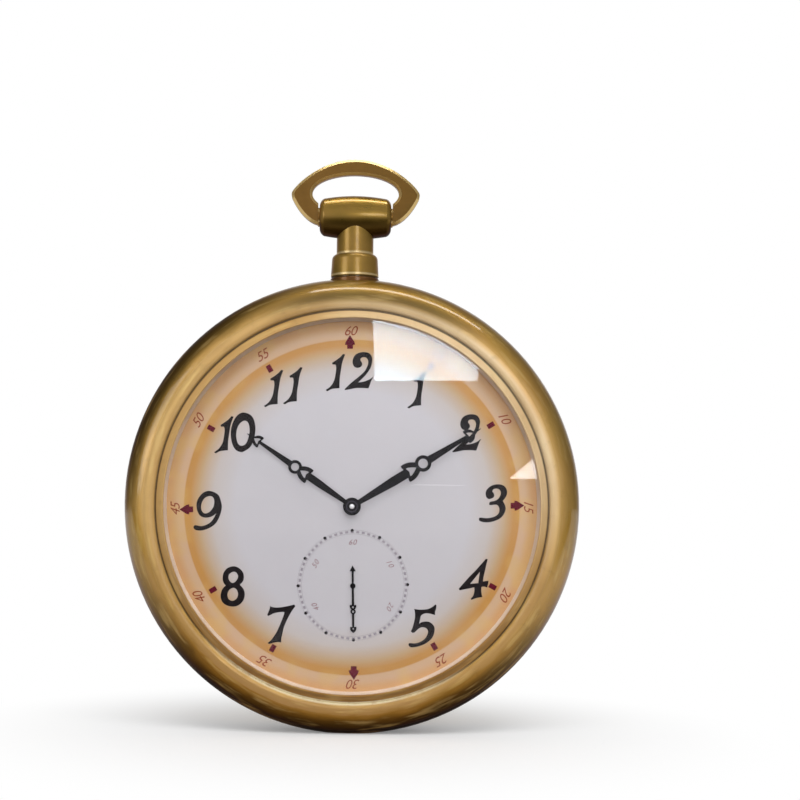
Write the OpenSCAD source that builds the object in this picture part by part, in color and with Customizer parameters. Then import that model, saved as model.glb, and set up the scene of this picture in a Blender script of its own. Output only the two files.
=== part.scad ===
// Giant pocket watch: a free-standing display clock with an open-faced watch case.
// Pieces of the case and clockwork are placed on the dial's axis, where local
// X is to the right, local Y is up and local Z points out of the dial.
// In the finished model the dial faces -Y, +Z is up and the foot stands on Z = 0.

/* [Case] */
// Outside diameter of the case band
case_d = 1340; // [1280:10:1400]
// Depth of the case band over its two crests
band_depth = 240; // [220:5:260]
// Radius of the rounded edges of the band
edge_r = 80; // [76:1:84]
// Wall of the moulded band
wall = 8; // [7:0.5:10]
// Width of the flat that the case stands on
foot_w = 150; // [110:10:180]
// Width of the rounded rim from the outside to the front and rear seats
rim_w = 96; // [93:1:100]
// Drop from the crest of the rim to a seat
seat_drop = 14; // [12:1:16]
// Width of the flange under each seat
flange_w = 24; // [22:1:27]
// Thickness of the rear cover's sheet
cover_t = 4; // [3:0.5:5]
// Width of the flat margin around the rear cover's dome
cover_margin = 42; // [36:2:50]
// Height of the rear cover's dome
cover_rise = 35; // [25:1:45]
// Thickness of the weight in the foot
foot_weight_t = 26; // [20:1:34]
// Length of the weight in the foot
foot_weight_l = 300; // [240:10:340]

/* [Bezel and crystal] */
// Width of the bezel ring seen from the front
bezel_w = 23.5; // [23:0.5:25]
// Height of the bezel above its seat
bezel_h = 18; // [15:0.5:20]
// Height of the bezel's outer edge above its seat
bezel_edge_h = 4; // [3:0.5:6]
// Shadow gap between the bezel and the rim
seam = 2.5; // [1.5:0.5:3]
// Rise of the crystal's dome
crystal_rise = 32; // [24:1:38]
// Thickness of the crystal
crystal_t = 4; // [3:0.5:5]
// Width of the crystal's edge held under the bezel
crystal_lap = 8; // [6:0.5:9]
// Thickness of the gasket under the crystal
gasket_t = 3; // [2:0.5:4]
// Width of the pale reflector ring on the dial
reflector_w = 8; // [6:0.5:10]

/* [Dial] */
// Depth from the seat of the bezel to the face of the dial
dial_drop = 23; // [20:1:28]
// Thickness of the dial plate
dial_t = 3; // [2:0.5:4]
// Thickness of the frame behind the dial
frame_t = 12; // [12:1:16]
// Width of the frame's outer ring
frame_ring_w = 46; // [40:2:56]
// Width of the frame's spokes
spoke_w = 60; // [50:2:80]
// Diameter of the frame's hub
frame_hub_d = 300; // [280:5:340]
// Distance from the dial's centre down to the small dial's centre
small_dial_drop = 232; // [215:1:245]
// Turn of the dial in the case, anticlockwise
dial_turn = 1.35; // [0:0.05:2]

/* [Stem and crown] */
// Diameter of the stem's neck
neck_d = 109; // [98:1:112]
// Wall of the neck tube
neck_wall = 9; // [6:1:12]
// Diameter of the collar where the neck meets the case
collar_d = 142; // [130:1:146]
// Height of the collar's body over the top of the case
collar_h = 61; // [54:1:70]
// Height of the collar's rounded shoulder
shoulder_h = 18; // [12:1:20]
// Height of the groove under the collar
groove_h = 4; // [3:0.5:6]
// Height of the bead ring over the top of the case
bead_h = 6; // [5:0.5:9]
// Height of the crown's axis over the top of the collar
crown_rise = 110; // [108:1:130]
// Length of the crown barrel
crown_l = 212; // [204:1:220]
// Diameter of the crown barrel at its middle
crown_d = 127; // [118:1:130]
// Diameter of the crown barrel's flat ends
crown_end_d = 68; // [64:1:74]
// Rise of the crown barrel's long curve
crown_bulge = 11; // [9:0.5:12]
// Diameter of the tie rod inside the stem
rod_d = 20; // [16:1:24]

/* [Bow] */
// Height of the bow's top over the crown's axis
bow_up = 171; // [164:1:178]
// Width of the bow over its two points
bow_w = 383; // [370:1:400]
// Height of the bow's points over the crown's axis
bow_point_up = 66; // [56:1:70]
// Rounding of the bow's points
bow_point_r = 12; // [9:1:16]
// Drop of the bow's ends below the crown's axis
bow_end_drop = 24; // [21:1:28]
// Width of the bow's window
bow_window_w = 257; // [250:1:264]
// Height of the bow's window
bow_window_h = 112; // [106:1:116]
// Height of the window's centre over the crown's axis
bow_window_up = 69; // [67:1:72]
// Thickness of the bow
bow_t = 34; // [30:1:40]
// Width of the bevels on the bow's edges
bow_bevel = 8; // [5:0.5:10]
// Diameter of the washers between the crown and the bow
washer_d = 56; // [50:1:62]
// Thickness of the washers between the crown and the bow
washer_t = 4.5; // [3:0.5:6]
// Diameter of the two pivot pins
pin_d = 18; // [12:1:20]
// Length of a pivot pin
pin_l = 58; // [50:1:66]

/* [Hands] */
// Thickness of the hour and minute hands
hand_t = 3; // [2:0.5:3.5]
// Diameter of the hour and minute hands' hubs
hub_d = 52; // [44:1:56]
// Length of the hour hand from the centre
hour_len = 372; // [360:1:385]
// Distance from the centre to the hour hand's ring
hour_ring_at = 202; // [196:1:208]
// Outside diameter of the hour hand's ring
hour_ring_d = 40; // [36:1:44]
// Widest part of the hour hand's blade
hour_blade_w = 22; // [18:1:26]
// Width of the hour hand's heart
hour_heart_w = 46; // [40:1:50]
// Length of the hour hand's heart
hour_heart_l = 36; // [32:1:40]
// Width of the hour hand's spade
hour_spade_w = 35; // [30:1:40]
// Length of the hour hand's spade
hour_spade_l = 26; // [22:1:30]
// Length of the minute hand from the centre
minute_len = 438; // [430:1:448]
// Distance from the centre to the minute hand's ring
minute_ring_at = 242; // [236:1:250]
// Outside diameter of the minute hand's ring
minute_ring_d = 48; // [44:1:54]
// Widest part of the minute hand's blade
minute_blade_w = 27; // [20:1:30]
// Width of the minute hand's heart
minute_heart_w = 54; // [48:1:60]
// Length of the minute hand's heart
minute_heart_l = 42; // [38:1:46]
// Width of the minute hand's spade
minute_spade_w = 40; // [34:1:44]
// Length of the minute hand's spade
minute_spade_l = 28; // [24:1:32]
// Hole in a hand's ring as a part of the ring's diameter
ring_hole = 0.58; // [0.5:0.01:0.62]
// Length of the point beyond a hand's spade
hand_tip_l = 22; // [18:1:26]
// Length of the seconds hand from its centre
second_len = 137; // [130:1:144]
// Length of the seconds hand's tail
second_tail_l = 60; // [54:1:64]
// Width of the seconds hand's blade
second_blade_w = 7; // [5:0.2:8]
// Distance from the centre to the seconds hand's ring
second_ring_at = 75; // [72:1:80]
// Outside diameter of the seconds hand's ring
second_ring_d = 15.6; // [13:0.2:16.6]
// Width of the seconds hand's heart
second_heart_w = 19; // [16:1:21]
// Width of the seconds hand's arrow head
second_head_w = 18; // [14:1:19]
// Thickness of the seconds hand
second_hand_t = 2; // [1.5:0.5:3]
// Angle of the hour hand, clockwise from the dial's twelve
hour_angle = 305.5; // [0:0.1:360]
// Angle of the minute hand, clockwise from the dial's twelve
minute_angle = 59.5; // [0:0.1:360]
// Angle of the seconds hand, clockwise from the dial's twelve
second_angle = 180; // [0:1:360]

/* [Movement] */
// Module of the motion work's teeth
motion_module = 2; // [1.9:0.05:2.1]
// Teeth of the cannon pinion
cannon_teeth = 15; // [15]
// Teeth of the minute wheel
minute_wheel_teeth = 45; // [45]
// Teeth of the minute wheel's pinion
minute_pinion_teeth = 12; // [12]
// Teeth of the hour wheel
hour_wheel_teeth = 48; // [48]
// Module of the drive's teeth
drive_module = 1.5; // [1.4:0.05:1.6]
// Teeth of the drive wheel
drive_wheel_teeth = 64; // [64]
// Teeth of the motor pinion
motor_pinion_teeth = 16; // [16]
// Thickness of the wheels
wheel_t = 6; // [5:0.5:7]
// Width and height of the movement's plates
plate_w = 190; // [186:2:210]
// Thickness of the movement's plates
plate_t = 6; // [5:0.5:8]
// Space between the movement's plates
plate_gap = 38; // [34:1:44]
// Space between the front plate and the dial frame
motion_gap = 32; // [32:1:38]
// Diameter of the centre arbor
arbor_d = 10; // [8:0.5:11]
// Outside diameter of the cannon pinion's pipe
cannon_pipe_d = 16; // [15:0.5:17]
// Outside diameter of the hour wheel's pipe
hour_pipe_d = 23; // [22:0.5:24]
// Diameter of the minute stud
stud_d = 8; // [6:0.5:9]
// Diameter of the drive motor
motor_d = 60; // [54:1:66]
// Length of the drive motor
motor_l = 60; // [50:1:70]
// Width of the seconds motor
second_motor_w = 56; // [50:1:58]
// Depth of the seconds motor
second_motor_h = 36; // [30:1:42]
// Diameter of the seconds arbor
second_arbor_d = 6; // [5:0.5:7]
// Diameter of the drive motor's shaft
motor_shaft_d = 8; // [6:0.5:10]
// Diameter of the boss around the drive motor's shaft
motor_boss_d = 22; // [18:1:24]
// Wall of an arbor bush
bush_wall = 4; // [3:0.5:5]
// Width of the battery box
battery_w = 130; // [110:5:150]
// Height of the battery box
battery_h = 110; // [90:5:120]
// Depth of the battery box
battery_depth = 45; // [36:1:50]
// Wall of the battery box
battery_wall = 3; // [2:0.5:4]

/* [Fixings] */
// Diameter of the frame and movement bolts
bolt_d = 8; // [6:0.5:8]
// Diameter of the bezel screws
bezel_screw_d = 4; // [3:0.5:5]
// Number of bezel screws
bezel_screws_n = 16; // [8:4:20]
// Diameter of the rear cover's screws
cover_screw_d = 6; // [4:0.5:7]
// Number of rear cover screws
cover_screws_n = 12; // [8:4:16]
// Number of brackets that carry the dial frame
brackets_n = 8; // [4:4:8]
// Width of a bracket
bracket_w = 40; // [30:1:46]
// Thickness of a bracket's foot
bracket_foot_t = 6; // [5:0.5:8]
// Width of a bracket's post
bracket_post_w = 16; // [14:1:18]
// Diameter of the small screws of the seconds motor and battery box
small_screw_d = 5; // [4:0.5:5]
// Diameter of the drive motor's screws
motor_screw_d = 4; // [3:0.5:4]

/* [Clearances] */
// Radial running fit of arbors and pins
run_fit = 0.06; // [0.05:0.01:0.1]
// Radial clearance of bolts and screws in their holes
hole_fit = 0.1; // [0.05:0.05:0.2]
// Thinning of each gear tooth at its pitch circle
tooth_slack = 0.3; // [0.25:0.05:0.4]
// Gap between the washers and the bow
bow_gap = 0.3; // [0.3:0.1:0.6]
// Gap between pieces that turn past each other on the arbors
end_gap = 0.3; // [0.3:0.1:0.4]
// Gap around the pipes and arbors that pass through the dial
dial_gap = 1.5; // [1:0.25:2]

/* [Hidden] */
$fn = 96;

gold = [0.72, 0.55, 0.26];
pale_gold = [0.84, 0.68, 0.4];
dark = [0.12, 0.11, 0.12];
steel = [0.62, 0.63, 0.65];
brass = [0.78, 0.62, 0.3];

case_r = case_d / 2;
crest_z = band_depth / 2;
seat_r = case_r - rim_w;
crest_r = case_r - edge_r;
lip_r = crest_r - seat_r;
seat_z = crest_z - seat_drop;
flange_z = seat_z - wall;
flange_r = seat_r - flange_w;
foot_drop = sqrt(case_r * case_r - foot_w * foot_w / 4);

bezel_out_r = seat_r - seam;
bezel_in_r = bezel_out_r - bezel_w;
bezel_round = 1.5;
crystal_z = seat_z + gasket_t;
crystal_r = bezel_in_r + crystal_lap;

dial_face = seat_z - dial_drop;
dial_back = dial_face - dial_t;
dial_r = flange_r - 1;
frame_r = dial_r - 3;
frame_back = dial_back - frame_t;
frame_bolt_r = frame_r - frame_ring_w / 2;

front_plate_z = frame_back - motion_gap - plate_t;
back_plate_z = front_plate_z - plate_gap - plate_t;
plate_back = back_plate_z;
corner_in = 20;
corner = plate_w / 2 - corner_in;
blind = 2;
screw_past = 6;

motion_reach = motion_module * (cannon_teeth + minute_wheel_teeth) / 2;
drive_reach = drive_module * (drive_wheel_teeth + motor_pinion_teeth) / 2;
minute_wheel_z = front_plate_z + plate_t + 4;
hour_wheel_z = minute_wheel_z + wheel_t + 8;
stud_top = hour_wheel_z + wheel_t + 2 + end_gap;
drive_z = back_plate_z + plate_t + 12;

second_hand_z = dial_face + 4;
hour_hand_z = second_hand_z + hand_t + 3;
minute_hand_z = hour_hand_z + hand_t + 7;
boss_up = 1.5;
boss_wall = 5;
nut_z = minute_hand_z + hand_t + boss_up;

bezel_screw_at = seat_r - 10;
cover_screw_at = seat_r - 12;
cover_screw_first = 15;
bracket_bolt_at = seat_r - 6;
bracket_first = 360 / brackets_n / 4;
bracket_foot_z = frame_back - bracket_foot_t;

bead_top = case_r + bead_h;
collar_low = bead_top + groove_h;
shoulder_low = case_r + collar_h;
collar_top = shoulder_low + shoulder_h;
crown_up = collar_top + crown_rise;
collar_taper = 3;
groove_in = 4;
socket_h = 10;
spigot_l = 20;
backing_w = 120;
backing_t = 12;
backing_low = case_r - wall - backing_t;
nut_h = rod_d * 0.8;
rod_low = backing_low - nut_h - 6;
rod_bite = 5;

past = 0.02;
bow_foot = crown_l / 2 + washer_t + bow_gap;
pin_in = crown_l / 2 - pin_l / 2;
pin_out = crown_l / 2 + pin_l / 2;

bush_r = arbor_d / 2 + bush_wall;
motor_tip_r = drive_module * (motor_pinion_teeth / 2 + 1);
motor_shaft_r = motor_shaft_d / 2;
motor_boss_r = motor_boss_d / 2;
shaft_depth = 20;
motor_screw_first = 30;

second_boss_r = 8;
second_arbor_depth = second_motor_h - 9;
second_motor_z = frame_back - second_motor_h;
second_screw_off = second_motor_w / 2 - 7;
battery_space = 22;
battery_drop = small_dial_drop + second_motor_w / 2 + battery_space + battery_h / 2;
battery_screw_off = battery_h / 2 - 12;
battery_z = frame_back - battery_depth;

// Places a piece on the dial's axis
module at_dial() {
    translate([0, 0, foot_drop])
        rotate([90, 0, 0])
            children();
}

// Places a piece on the crown's axis
module at_crown() {
    at_dial()
        translate([0, crown_up, 0])
            children();
}

// Repeats a piece n times around the dial's axis
module around(n, radius, first = 0) {
    for (i = [0 : n - 1])
        rotate([0, 0, first + i * 360 / n])
            translate([radius, 0, 0])
                children();
}

// A round bar from one height to another
module bar(radius, low, high) {
    translate([0, 0, low])
        cylinder(r = radius, h = high - low);
}

// A screw or bolt whose head lies below the height low
module screw(d, low, high) {
    bar(d / 2, low - d * 0.3, high);
    bar(d * 0.9, low - d * 0.6, low);
}

// Points of a cubic curve, without its first point
function curve(a, b, c, d, n = 8) = [
    for (i = [1 : n])
        let (t = i / n, s = 1 - t)
        a * s * s * s + b * 3 * s * s * t + c * 3 * s * t * t + d * t * t * t
];

// Mirrors the right half of an outline about X = 0 and closes it
function mirrored(half) = concat(half, [
    for (i = [len(half) - 1 : -1 : 0])
        if (half[i][0] > 0)
            [-half[i][0], half[i][1]]
]);

// Outer half of the band's section, drawn in by the distance inset
module band_section(inset) {
    arc_z = crest_z - edge_r;
    intersection() {
        union() {
            for (side = [-1, 1])
                translate([crest_r, side * arc_z])
                    circle(r = edge_r - inset, $fn = 144);
            translate([crest_r, -arc_z])
                square([edge_r - inset, 2 * arc_z]);
        }
        translate([crest_r, -crest_z])
            square([edge_r, band_depth]);
    }
}

// Inner half of the rim's front, from the crest over the lip to the flange
module lip_section() {
    intersection() {
        translate([crest_r, crest_z - lip_r])
            circle(r = lip_r);
        translate([crest_r - lip_r, seat_z])
            square([lip_r, seat_drop]);
    }
    translate([flange_r, flange_z])
        square([crest_r - flange_r, wall]);
}

// The whole band as a closed ring, to cut what stands on it
module band_solid() {
    rotate_extrude($fn = 240)
        band_section(0);
}

module case_band() {
    color(gold)
    at_dial()
    difference() {
        rotate_extrude($fn = 240) {
            difference() {
                band_section(0);
                band_section(wall);
            }
            lip_section();
            mirror([0, 1])
                lip_section();
        }
        translate([-case_r, -case_r - 10, -band_depth])
            cube([case_d, case_r + 10 - foot_drop, 2 * band_depth]);
        around(bezel_screws_n, bezel_screw_at)
            bar(bezel_screw_d / 2 + hole_fit, flange_z - 1, seat_z + 1);
        around(cover_screws_n, cover_screw_at, cover_screw_first)
            bar(cover_screw_d / 2 + hole_fit, -seat_z - 1, -flange_z + 1);
        around(brackets_n, bracket_bolt_at, bracket_first)
            bar(bolt_d / 2 + hole_fit, flange_z - 1, seat_z - blind);
        translate([0, case_r, 0])
            rotate([90, 0, 0])
                cylinder(r = rod_d / 2 + hole_fit, h = 4 * wall, center = true);
    }
}

module foot_weight() {
    color(steel)
    at_dial()
    intersection() {
        cylinder(r = case_r - wall, h = 2 * (crest_z - edge_r), center = true, $fn = 240);
        translate([-foot_weight_l / 2, -case_r, -crest_z])
            cube([foot_weight_l, wall + foot_weight_t, band_depth]);
    }
}

// A shell of a sphere with its rim on the plane at height base, crown up by rise
module dome(base, rim_r, rise, thick) {
    out_r = (rim_r * rim_r + rise * rise) / (2 * rise);
    rotate_extrude($fn = 240)
        intersection() {
            difference() {
                translate([0, base + rise - out_r])
                    circle(r = out_r, $fn = 720);
                translate([0, base + rise - out_r])
                    circle(r = out_r - thick, $fn = 720);
            }
            translate([0, base - thick])
                square([rim_r, rise + 2 * thick]);
        }
}

module rear_cover() {
    dome_r = bezel_out_r - cover_margin;
    color(gold)
    at_dial()
    mirror([0, 0, 1])
    difference() {
        union() {
            dome(seat_z + cover_t, dome_r, cover_rise, cover_t);
            rotate_extrude($fn = 240)
                translate([dome_r - cover_t, seat_z])
                    square([cover_margin + cover_t, cover_t]);
        }
        mirror([0, 1, 0])
            around(cover_screws_n, cover_screw_at, -cover_screw_first)
                bar(cover_screw_d / 2 + hole_fit, seat_z - 1, seat_z + cover_t + 1);
    }
}

module cover_screws() {
    color(steel)
    at_dial()
    around(cover_screws_n, cover_screw_at, cover_screw_first)
        screw(cover_screw_d, -seat_z - cover_t, -flange_z + screw_past);
}

module bezel_ring() {
    top = seat_z + bezel_h;
    lap_z = crystal_z + crystal_t;
    color(pale_gold)
    at_dial()
    difference() {
        rotate_extrude($fn = 240)
            polygon([
                [crystal_r + 1, seat_z], [bezel_out_r, seat_z],
                [bezel_out_r, seat_z + bezel_edge_h], [bezel_in_r + 6, top - bezel_round],
                [bezel_in_r + 4, top], [bezel_in_r + bezel_round, top],
                [bezel_in_r, top - bezel_round], [bezel_in_r, lap_z], [crystal_r + 1, lap_z]
            ]);
        around(bezel_screws_n, bezel_screw_at)
            bar(bezel_screw_d / 2 + hole_fit, seat_z - 1, seat_z + screw_past);
    }
}

module bezel_screws() {
    color(steel)
    at_dial()
    around(bezel_screws_n, bezel_screw_at)
        screw(bezel_screw_d, flange_z, seat_z + screw_past - 1);
}

module crystal_gasket() {
    color(dark)
    at_dial()
    rotate_extrude($fn = 240)
        translate([flange_r, seat_z])
            square([crystal_r - flange_r, gasket_t]);
}

module crystal() {
    color([0.85, 0.9, 0.92, 0.35])
    at_dial() {
        dome(crystal_z + crystal_t, bezel_in_r, crystal_rise, crystal_t);
        rotate_extrude($fn = 240)
            translate([bezel_in_r - 1, crystal_z])
                square([crystal_lap + 1, crystal_t]);
    }
}

module reflector_ring() {
    out_r = flange_r - 0.5;
    lip = 2;
    color("white")
    at_dial()
    rotate_extrude($fn = 240)
        polygon([
            [out_r - reflector_w, dial_face], [out_r, dial_face],
            [out_r, seat_z + lip], [out_r - lip, seat_z + lip]
        ]);
}

module dial_plate() {
    color([0.86, 0.78, 0.72])
    at_dial()
    difference() {
        bar(dial_r, dial_back, dial_face, $fn = 240);
        bar(hour_pipe_d / 2 + dial_gap, dial_back - 1, dial_face + 1);
        at_small_dial()
            bar(second_arbor_d / 2 + dial_gap, dial_back - 1, dial_face + 1);
    }
}

module dial_studs() {
    color(steel)
    at_dial()
    around(brackets_n, frame_bolt_r, bracket_first + 180 / brackets_n) {
        bar(bolt_d / 2, frame_back - 1.5 * bolt_d, dial_back);
        translate([0, 0, frame_back - 0.9 * bolt_d])
            cylinder(r = bolt_d, h = 0.9 * bolt_d, $fn = 6);
    }
}

module dial_frame() {
    color([0.35, 0.36, 0.38])
    at_dial()
    difference() {
        translate([0, 0, frame_back])
            linear_extrude(frame_t)
                union() {
                    difference() {
                        circle(r = frame_r, $fn = 240);
                        circle(r = frame_r - frame_ring_w, $fn = 240);
                    }
                    circle(r = frame_hub_d / 2);
                    for (turn = [0, 90])
                        rotate(turn)
                            square([2 * frame_r - frame_ring_w, spoke_w], center = true);
                }
        bar(hour_pipe_d / 2 + 4 * dial_gap, frame_back - 1, dial_back + 1);
        at_small_dial()
            bar(second_arbor_d / 2 + 2 * dial_gap, frame_back - 1, dial_back + 1);
        around(brackets_n, frame_bolt_r, bracket_first)
            bar(bolt_d / 2 + hole_fit, frame_back - 1, dial_back - blind);
        around(brackets_n, frame_bolt_r, bracket_first + 180 / brackets_n)
            bar(bolt_d / 2 + hole_fit, frame_back - 1, dial_back + 1);
        at_corners()
            bar(bolt_d / 2 + hole_fit, frame_back - 1, dial_back - blind);
        at_second_motor_screws()
            bar(small_screw_d / 2 + hole_fit, frame_back - 1, dial_back - blind);
        at_battery_screws()
            bar(small_screw_d / 2 + hole_fit, frame_back - 1, dial_back - blind);
    }
}

module frame_brackets() {
    inner = frame_r - frame_ring_w + 6;
    outer = bracket_bolt_at + bracket_post_w / 2;
    color(steel)
    at_dial()
    difference() {
        around(brackets_n, 0, bracket_first) {
            translate([inner, -bracket_w / 2, bracket_foot_z])
                cube([outer - inner, bracket_w, frame_back - bracket_foot_z]);
            translate([outer - bracket_post_w, -bracket_w / 2, bracket_foot_z])
                cube([bracket_post_w, bracket_w, flange_z - bracket_foot_z]);
        }
        around(brackets_n, frame_bolt_r, bracket_first)
            bar(bolt_d / 2 + hole_fit, bracket_foot_z - 1, frame_back + 1);
        around(brackets_n, bracket_bolt_at, bracket_first)
            bar(bolt_d / 2 + hole_fit, bracket_foot_z - 1, flange_z + 1);
    }
}

module frame_bolts() {
    color(steel)
    at_dial() {
        around(brackets_n, frame_bolt_r, bracket_first)
            screw(bolt_d, bracket_foot_z, dial_back - blind - 1);
        around(brackets_n, bracket_bolt_at, bracket_first)
            screw(bolt_d, bracket_foot_z, seat_z - blind - 1);
    }
}

// Turns a piece drawn along Z so that it stands on the stem's axis
module on_stem() {
    at_dial()
        rotate([-90, 0, 0])
            children();
}

module bead_ring() {
    bore_r = rod_d / 2 + hole_fit;
    bead_r = collar_d / 2 + 1;
    color(pale_gold)
    difference() {
        on_stem()
            rotate_extrude() {
                translate([bore_r, case_r - spigot_l])
                    square([bead_r - bead_h / 2 - bore_r, spigot_l + bead_h]);
                translate([bore_r, case_r - spigot_l])
                    square([bead_r - bore_r, spigot_l + bead_h / 2]);
                translate([bead_r - bead_h / 2, case_r + bead_h / 2])
                    circle(r = bead_h / 2);
            }
        at_dial()
            band_solid();
    }
}

module stem_collar() {
    body_r = collar_d / 2;
    groove_r = body_r - groove_in;
    shoulder_r = body_r - collar_taper;
    color(gold)
    on_stem()
    rotate_extrude()
    difference() {
        union() {
            translate([0, bead_top])
                square([groove_r, groove_h]);
            polygon([
                [0, collar_low], [body_r - 1.5, collar_low], [body_r, collar_low + 1.5],
                [shoulder_r, shoulder_low], [0, shoulder_low]
            ]);
            intersection() {
                translate([shoulder_r - shoulder_h, shoulder_low])
                    circle(r = shoulder_h);
                translate([0, shoulder_low])
                    square([body_r, shoulder_h]);
            }
            translate([0, shoulder_low])
                square([shoulder_r - shoulder_h, shoulder_h]);
        }
        translate([-1, bead_top - 1])
            square([rod_d / 2 + hole_fit + 1, collar_top]);
        translate([-1, collar_top - socket_h])
            square([neck_d / 2 + hole_fit + 1, socket_h + 1]);
    }
}

// The crown barrel as a closed cask along X
module crown_solid() {
    half_l = crown_l / 2;
    mid_r = crown_d / 2;
    end_r = crown_end_d / 2;
    arc_r = (half_l * half_l + crown_bulge * crown_bulge) / (2 * crown_bulge);
    round_r = (mid_r - crown_bulge - end_r) / (1 - 2 * crown_bulge / half_l);
    round_at = half_l - round_r;
    rotate([0, 90, 0])
        rotate_extrude()
            intersection() {
                translate([mid_r - arc_r, 0])
                    circle(r = arc_r, $fn = 360);
                union() {
                    translate([0, -round_at])
                        square([mid_r, 2 * round_at]);
                    translate([0, -half_l])
                        square([end_r, crown_l]);
                    for (side = [-1, 1])
                        translate([end_r, side * round_at])
                            circle(r = round_r);
                }
                translate([0, -half_l])
                    square([mid_r, crown_l]);
            }
}

module crown_barrel() {
    color(gold)
    at_crown()
    difference() {
        crown_solid();
        for (side = [-1, 1])
            rotate([0, side * 90, 0])
                bar(pin_d / 2, pin_in, crown_l / 2 + 1);
        rotate([90, 0, 0])
            bar(rod_d / 2, -rod_bite, crown_d);
    }
}

module stem_neck() {
    color(gold)
    difference() {
        on_stem()
            difference() {
                bar(neck_d / 2, collar_top - socket_h, crown_up);
                bar(neck_d / 2 - neck_wall, collar_top - socket_h - 1, crown_up + 1);
            }
        at_crown()
            crown_solid();
    }
}

module stem_rod() {
    color(steel)
    on_stem()
        bar(rod_d / 2, rod_low, crown_up + rod_bite);
}

module stem_nut() {
    color(steel)
    on_stem()
    difference() {
        translate([0, 0, backing_low - nut_h])
            cylinder(r = rod_d * 0.95, h = nut_h, $fn = 6);
        bar(rod_d / 2 + hole_fit, backing_low - nut_h - 1, backing_low + 1);
    }
}

module backing_plate() {
    color(steel)
    difference() {
        at_dial()
        intersection() {
            cylinder(r = case_r - wall, h = 2 * (crest_z - edge_r), center = true, $fn = 240);
            translate([-backing_w / 2, backing_low, -crest_z])
                cube([backing_w, backing_t + 1, band_depth]);
        }
        on_stem()
            bar(rod_d / 2 + hole_fit, backing_low - 1, case_r);
    }
}

// The bow's outer outline, counter-clockwise from its lowest right corner
function bow_outline() =
    let (
        tip = bow_w / 2,
        low = [bow_foot, -bow_end_drop],
        point = [tip, bow_point_up],
        reach = tip - bow_foot,
        below = point - [reach * 0.04, bow_point_r],
        above = point + [-reach * 0.11, bow_point_r * 1.4]
    )
    mirrored(concat(
        [[0, -bow_end_drop], low],
        curve(low, low + reach * [0.42, 0.1], point - reach * [0.24, 0.56], below, 8),
        curve(below, point + [0, bow_point_r * 0.3], point + [0, bow_point_r * 0.4], above, 5),
        curve(above, [tip * 0.8, bow_up * 0.7], [tip * 0.43, bow_up], [0, bow_up], 14)
    ));

// The bow's window outline, an ellipse
function bow_window() = [
    for (i = [0 : 63])
        let (a = i * 360 / 64)
        [bow_window_w / 2 * cos(a), bow_window_up + bow_window_h / 2 * sin(a)]
];

// Moves each point of a counter-clockwise outline inward by d
function drawn_in(pts, d) = [
    for (i = [0 : len(pts) - 1])
        let (
            n = len(pts),
            before = pts[(i + n - 1) % n],
            after = pts[(i + 1) % n],
            way_in = pts[i] - before,
            way_out = after - pts[i],
            u = way_in / norm(way_in),
            v = way_out / norm(way_out),
            side = [-u[1] - v[1], u[0] + v[0]],
            grow = 2 / (side * side)
        )
        pts[i] + side * grow * d
];

// A plate with both edges bevelled, or flared where bevel is below 0
module bevelled_plate(pts, t, bevel) {
    n = len(pts);
    b = abs(bevel);
    inset = drawn_in(pts, bevel);
    rings = [
        [inset, -t / 2], [pts, -t / 2 + b], [pts, t / 2 - b], [inset, t / 2]
    ];
    polyhedron(
        points = [for (ring = rings) for (p = ring[0]) [p[0], p[1], ring[1]]],
        faces = concat(
            [[for (i = [0 : n - 1]) i]],
            [for (k = [0 : 2]) for (i = [0 : n - 1])
                [k * n + i, (k + 1) * n + i, (k + 1) * n + (i + 1) % n, k * n + (i + 1) % n]],
            [[for (i = [n - 1 : -1 : 0]) 3 * n + i]]
        )
    );
}

module bow() {
    color(gold)
    at_crown()
    difference() {
        bevelled_plate(bow_outline(), bow_t, bow_bevel);
        bevelled_plate(bow_window(), bow_t + past, -bow_bevel);
        translate([-bow_foot, -bow_end_drop - 1, -bow_t])
            cube([2 * bow_foot, bow_end_drop + 1 + bow_window_up - 20, 2 * bow_t]);
        for (side = [-1, 1])
            rotate([0, side * 90, 0])
                bar(pin_d / 2 + run_fit, bow_foot - 1, pin_out + 1);
    }
}

module bow_pins() {
    color(steel)
    at_crown()
    for (side = [-1, 1])
        rotate([0, side * 90, 0])
            bar(pin_d / 2, pin_in, pin_out);
}

module bow_washers() {
    color(pale_gold)
    at_crown()
    for (side = [-1, 1])
        rotate([0, side * 90, 0])
            difference() {
                bar(washer_d / 2, crown_l / 2, crown_l / 2 + washer_t);
                bar(pin_d / 2, crown_l / 2 - 1, crown_l / 2 + washer_t + 1);
            }
}

// Repeats a piece at the four corners of the movement's plates
module at_corners() {
    for (x = [-corner, corner])
        for (y = [-corner, corner])
            translate([x, y, 0])
                children();
}

// Places a piece on the minute stud, to the right of the centre
module at_stud() {
    translate([motion_reach, 0, 0])
        children();
}

// Places a piece on the motor's axis, above the centre
module at_motor() {
    translate([0, drive_reach, 0])
        children();
}

module plate_blank(z) {
    translate([-plate_w / 2, -plate_w / 2, z])
        cube([plate_w, plate_w, plate_t]);
}

module front_plate() {
    color(brass)
    at_dial()
    difference() {
        plate_blank(front_plate_z);
        at_corners()
            bar(bolt_d / 2 + hole_fit, front_plate_z - 1, front_plate_z + plate_t + 1);
        bar(bush_r, front_plate_z - 1, front_plate_z + plate_t + 1);
        at_stud()
            bar(stud_d / 2, front_plate_z - 1, front_plate_z + plate_t + 1);
        at_motor()
            bar(motor_tip_r + 1, front_plate_z - 1, front_plate_z + plate_t + 1);
    }
}

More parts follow.
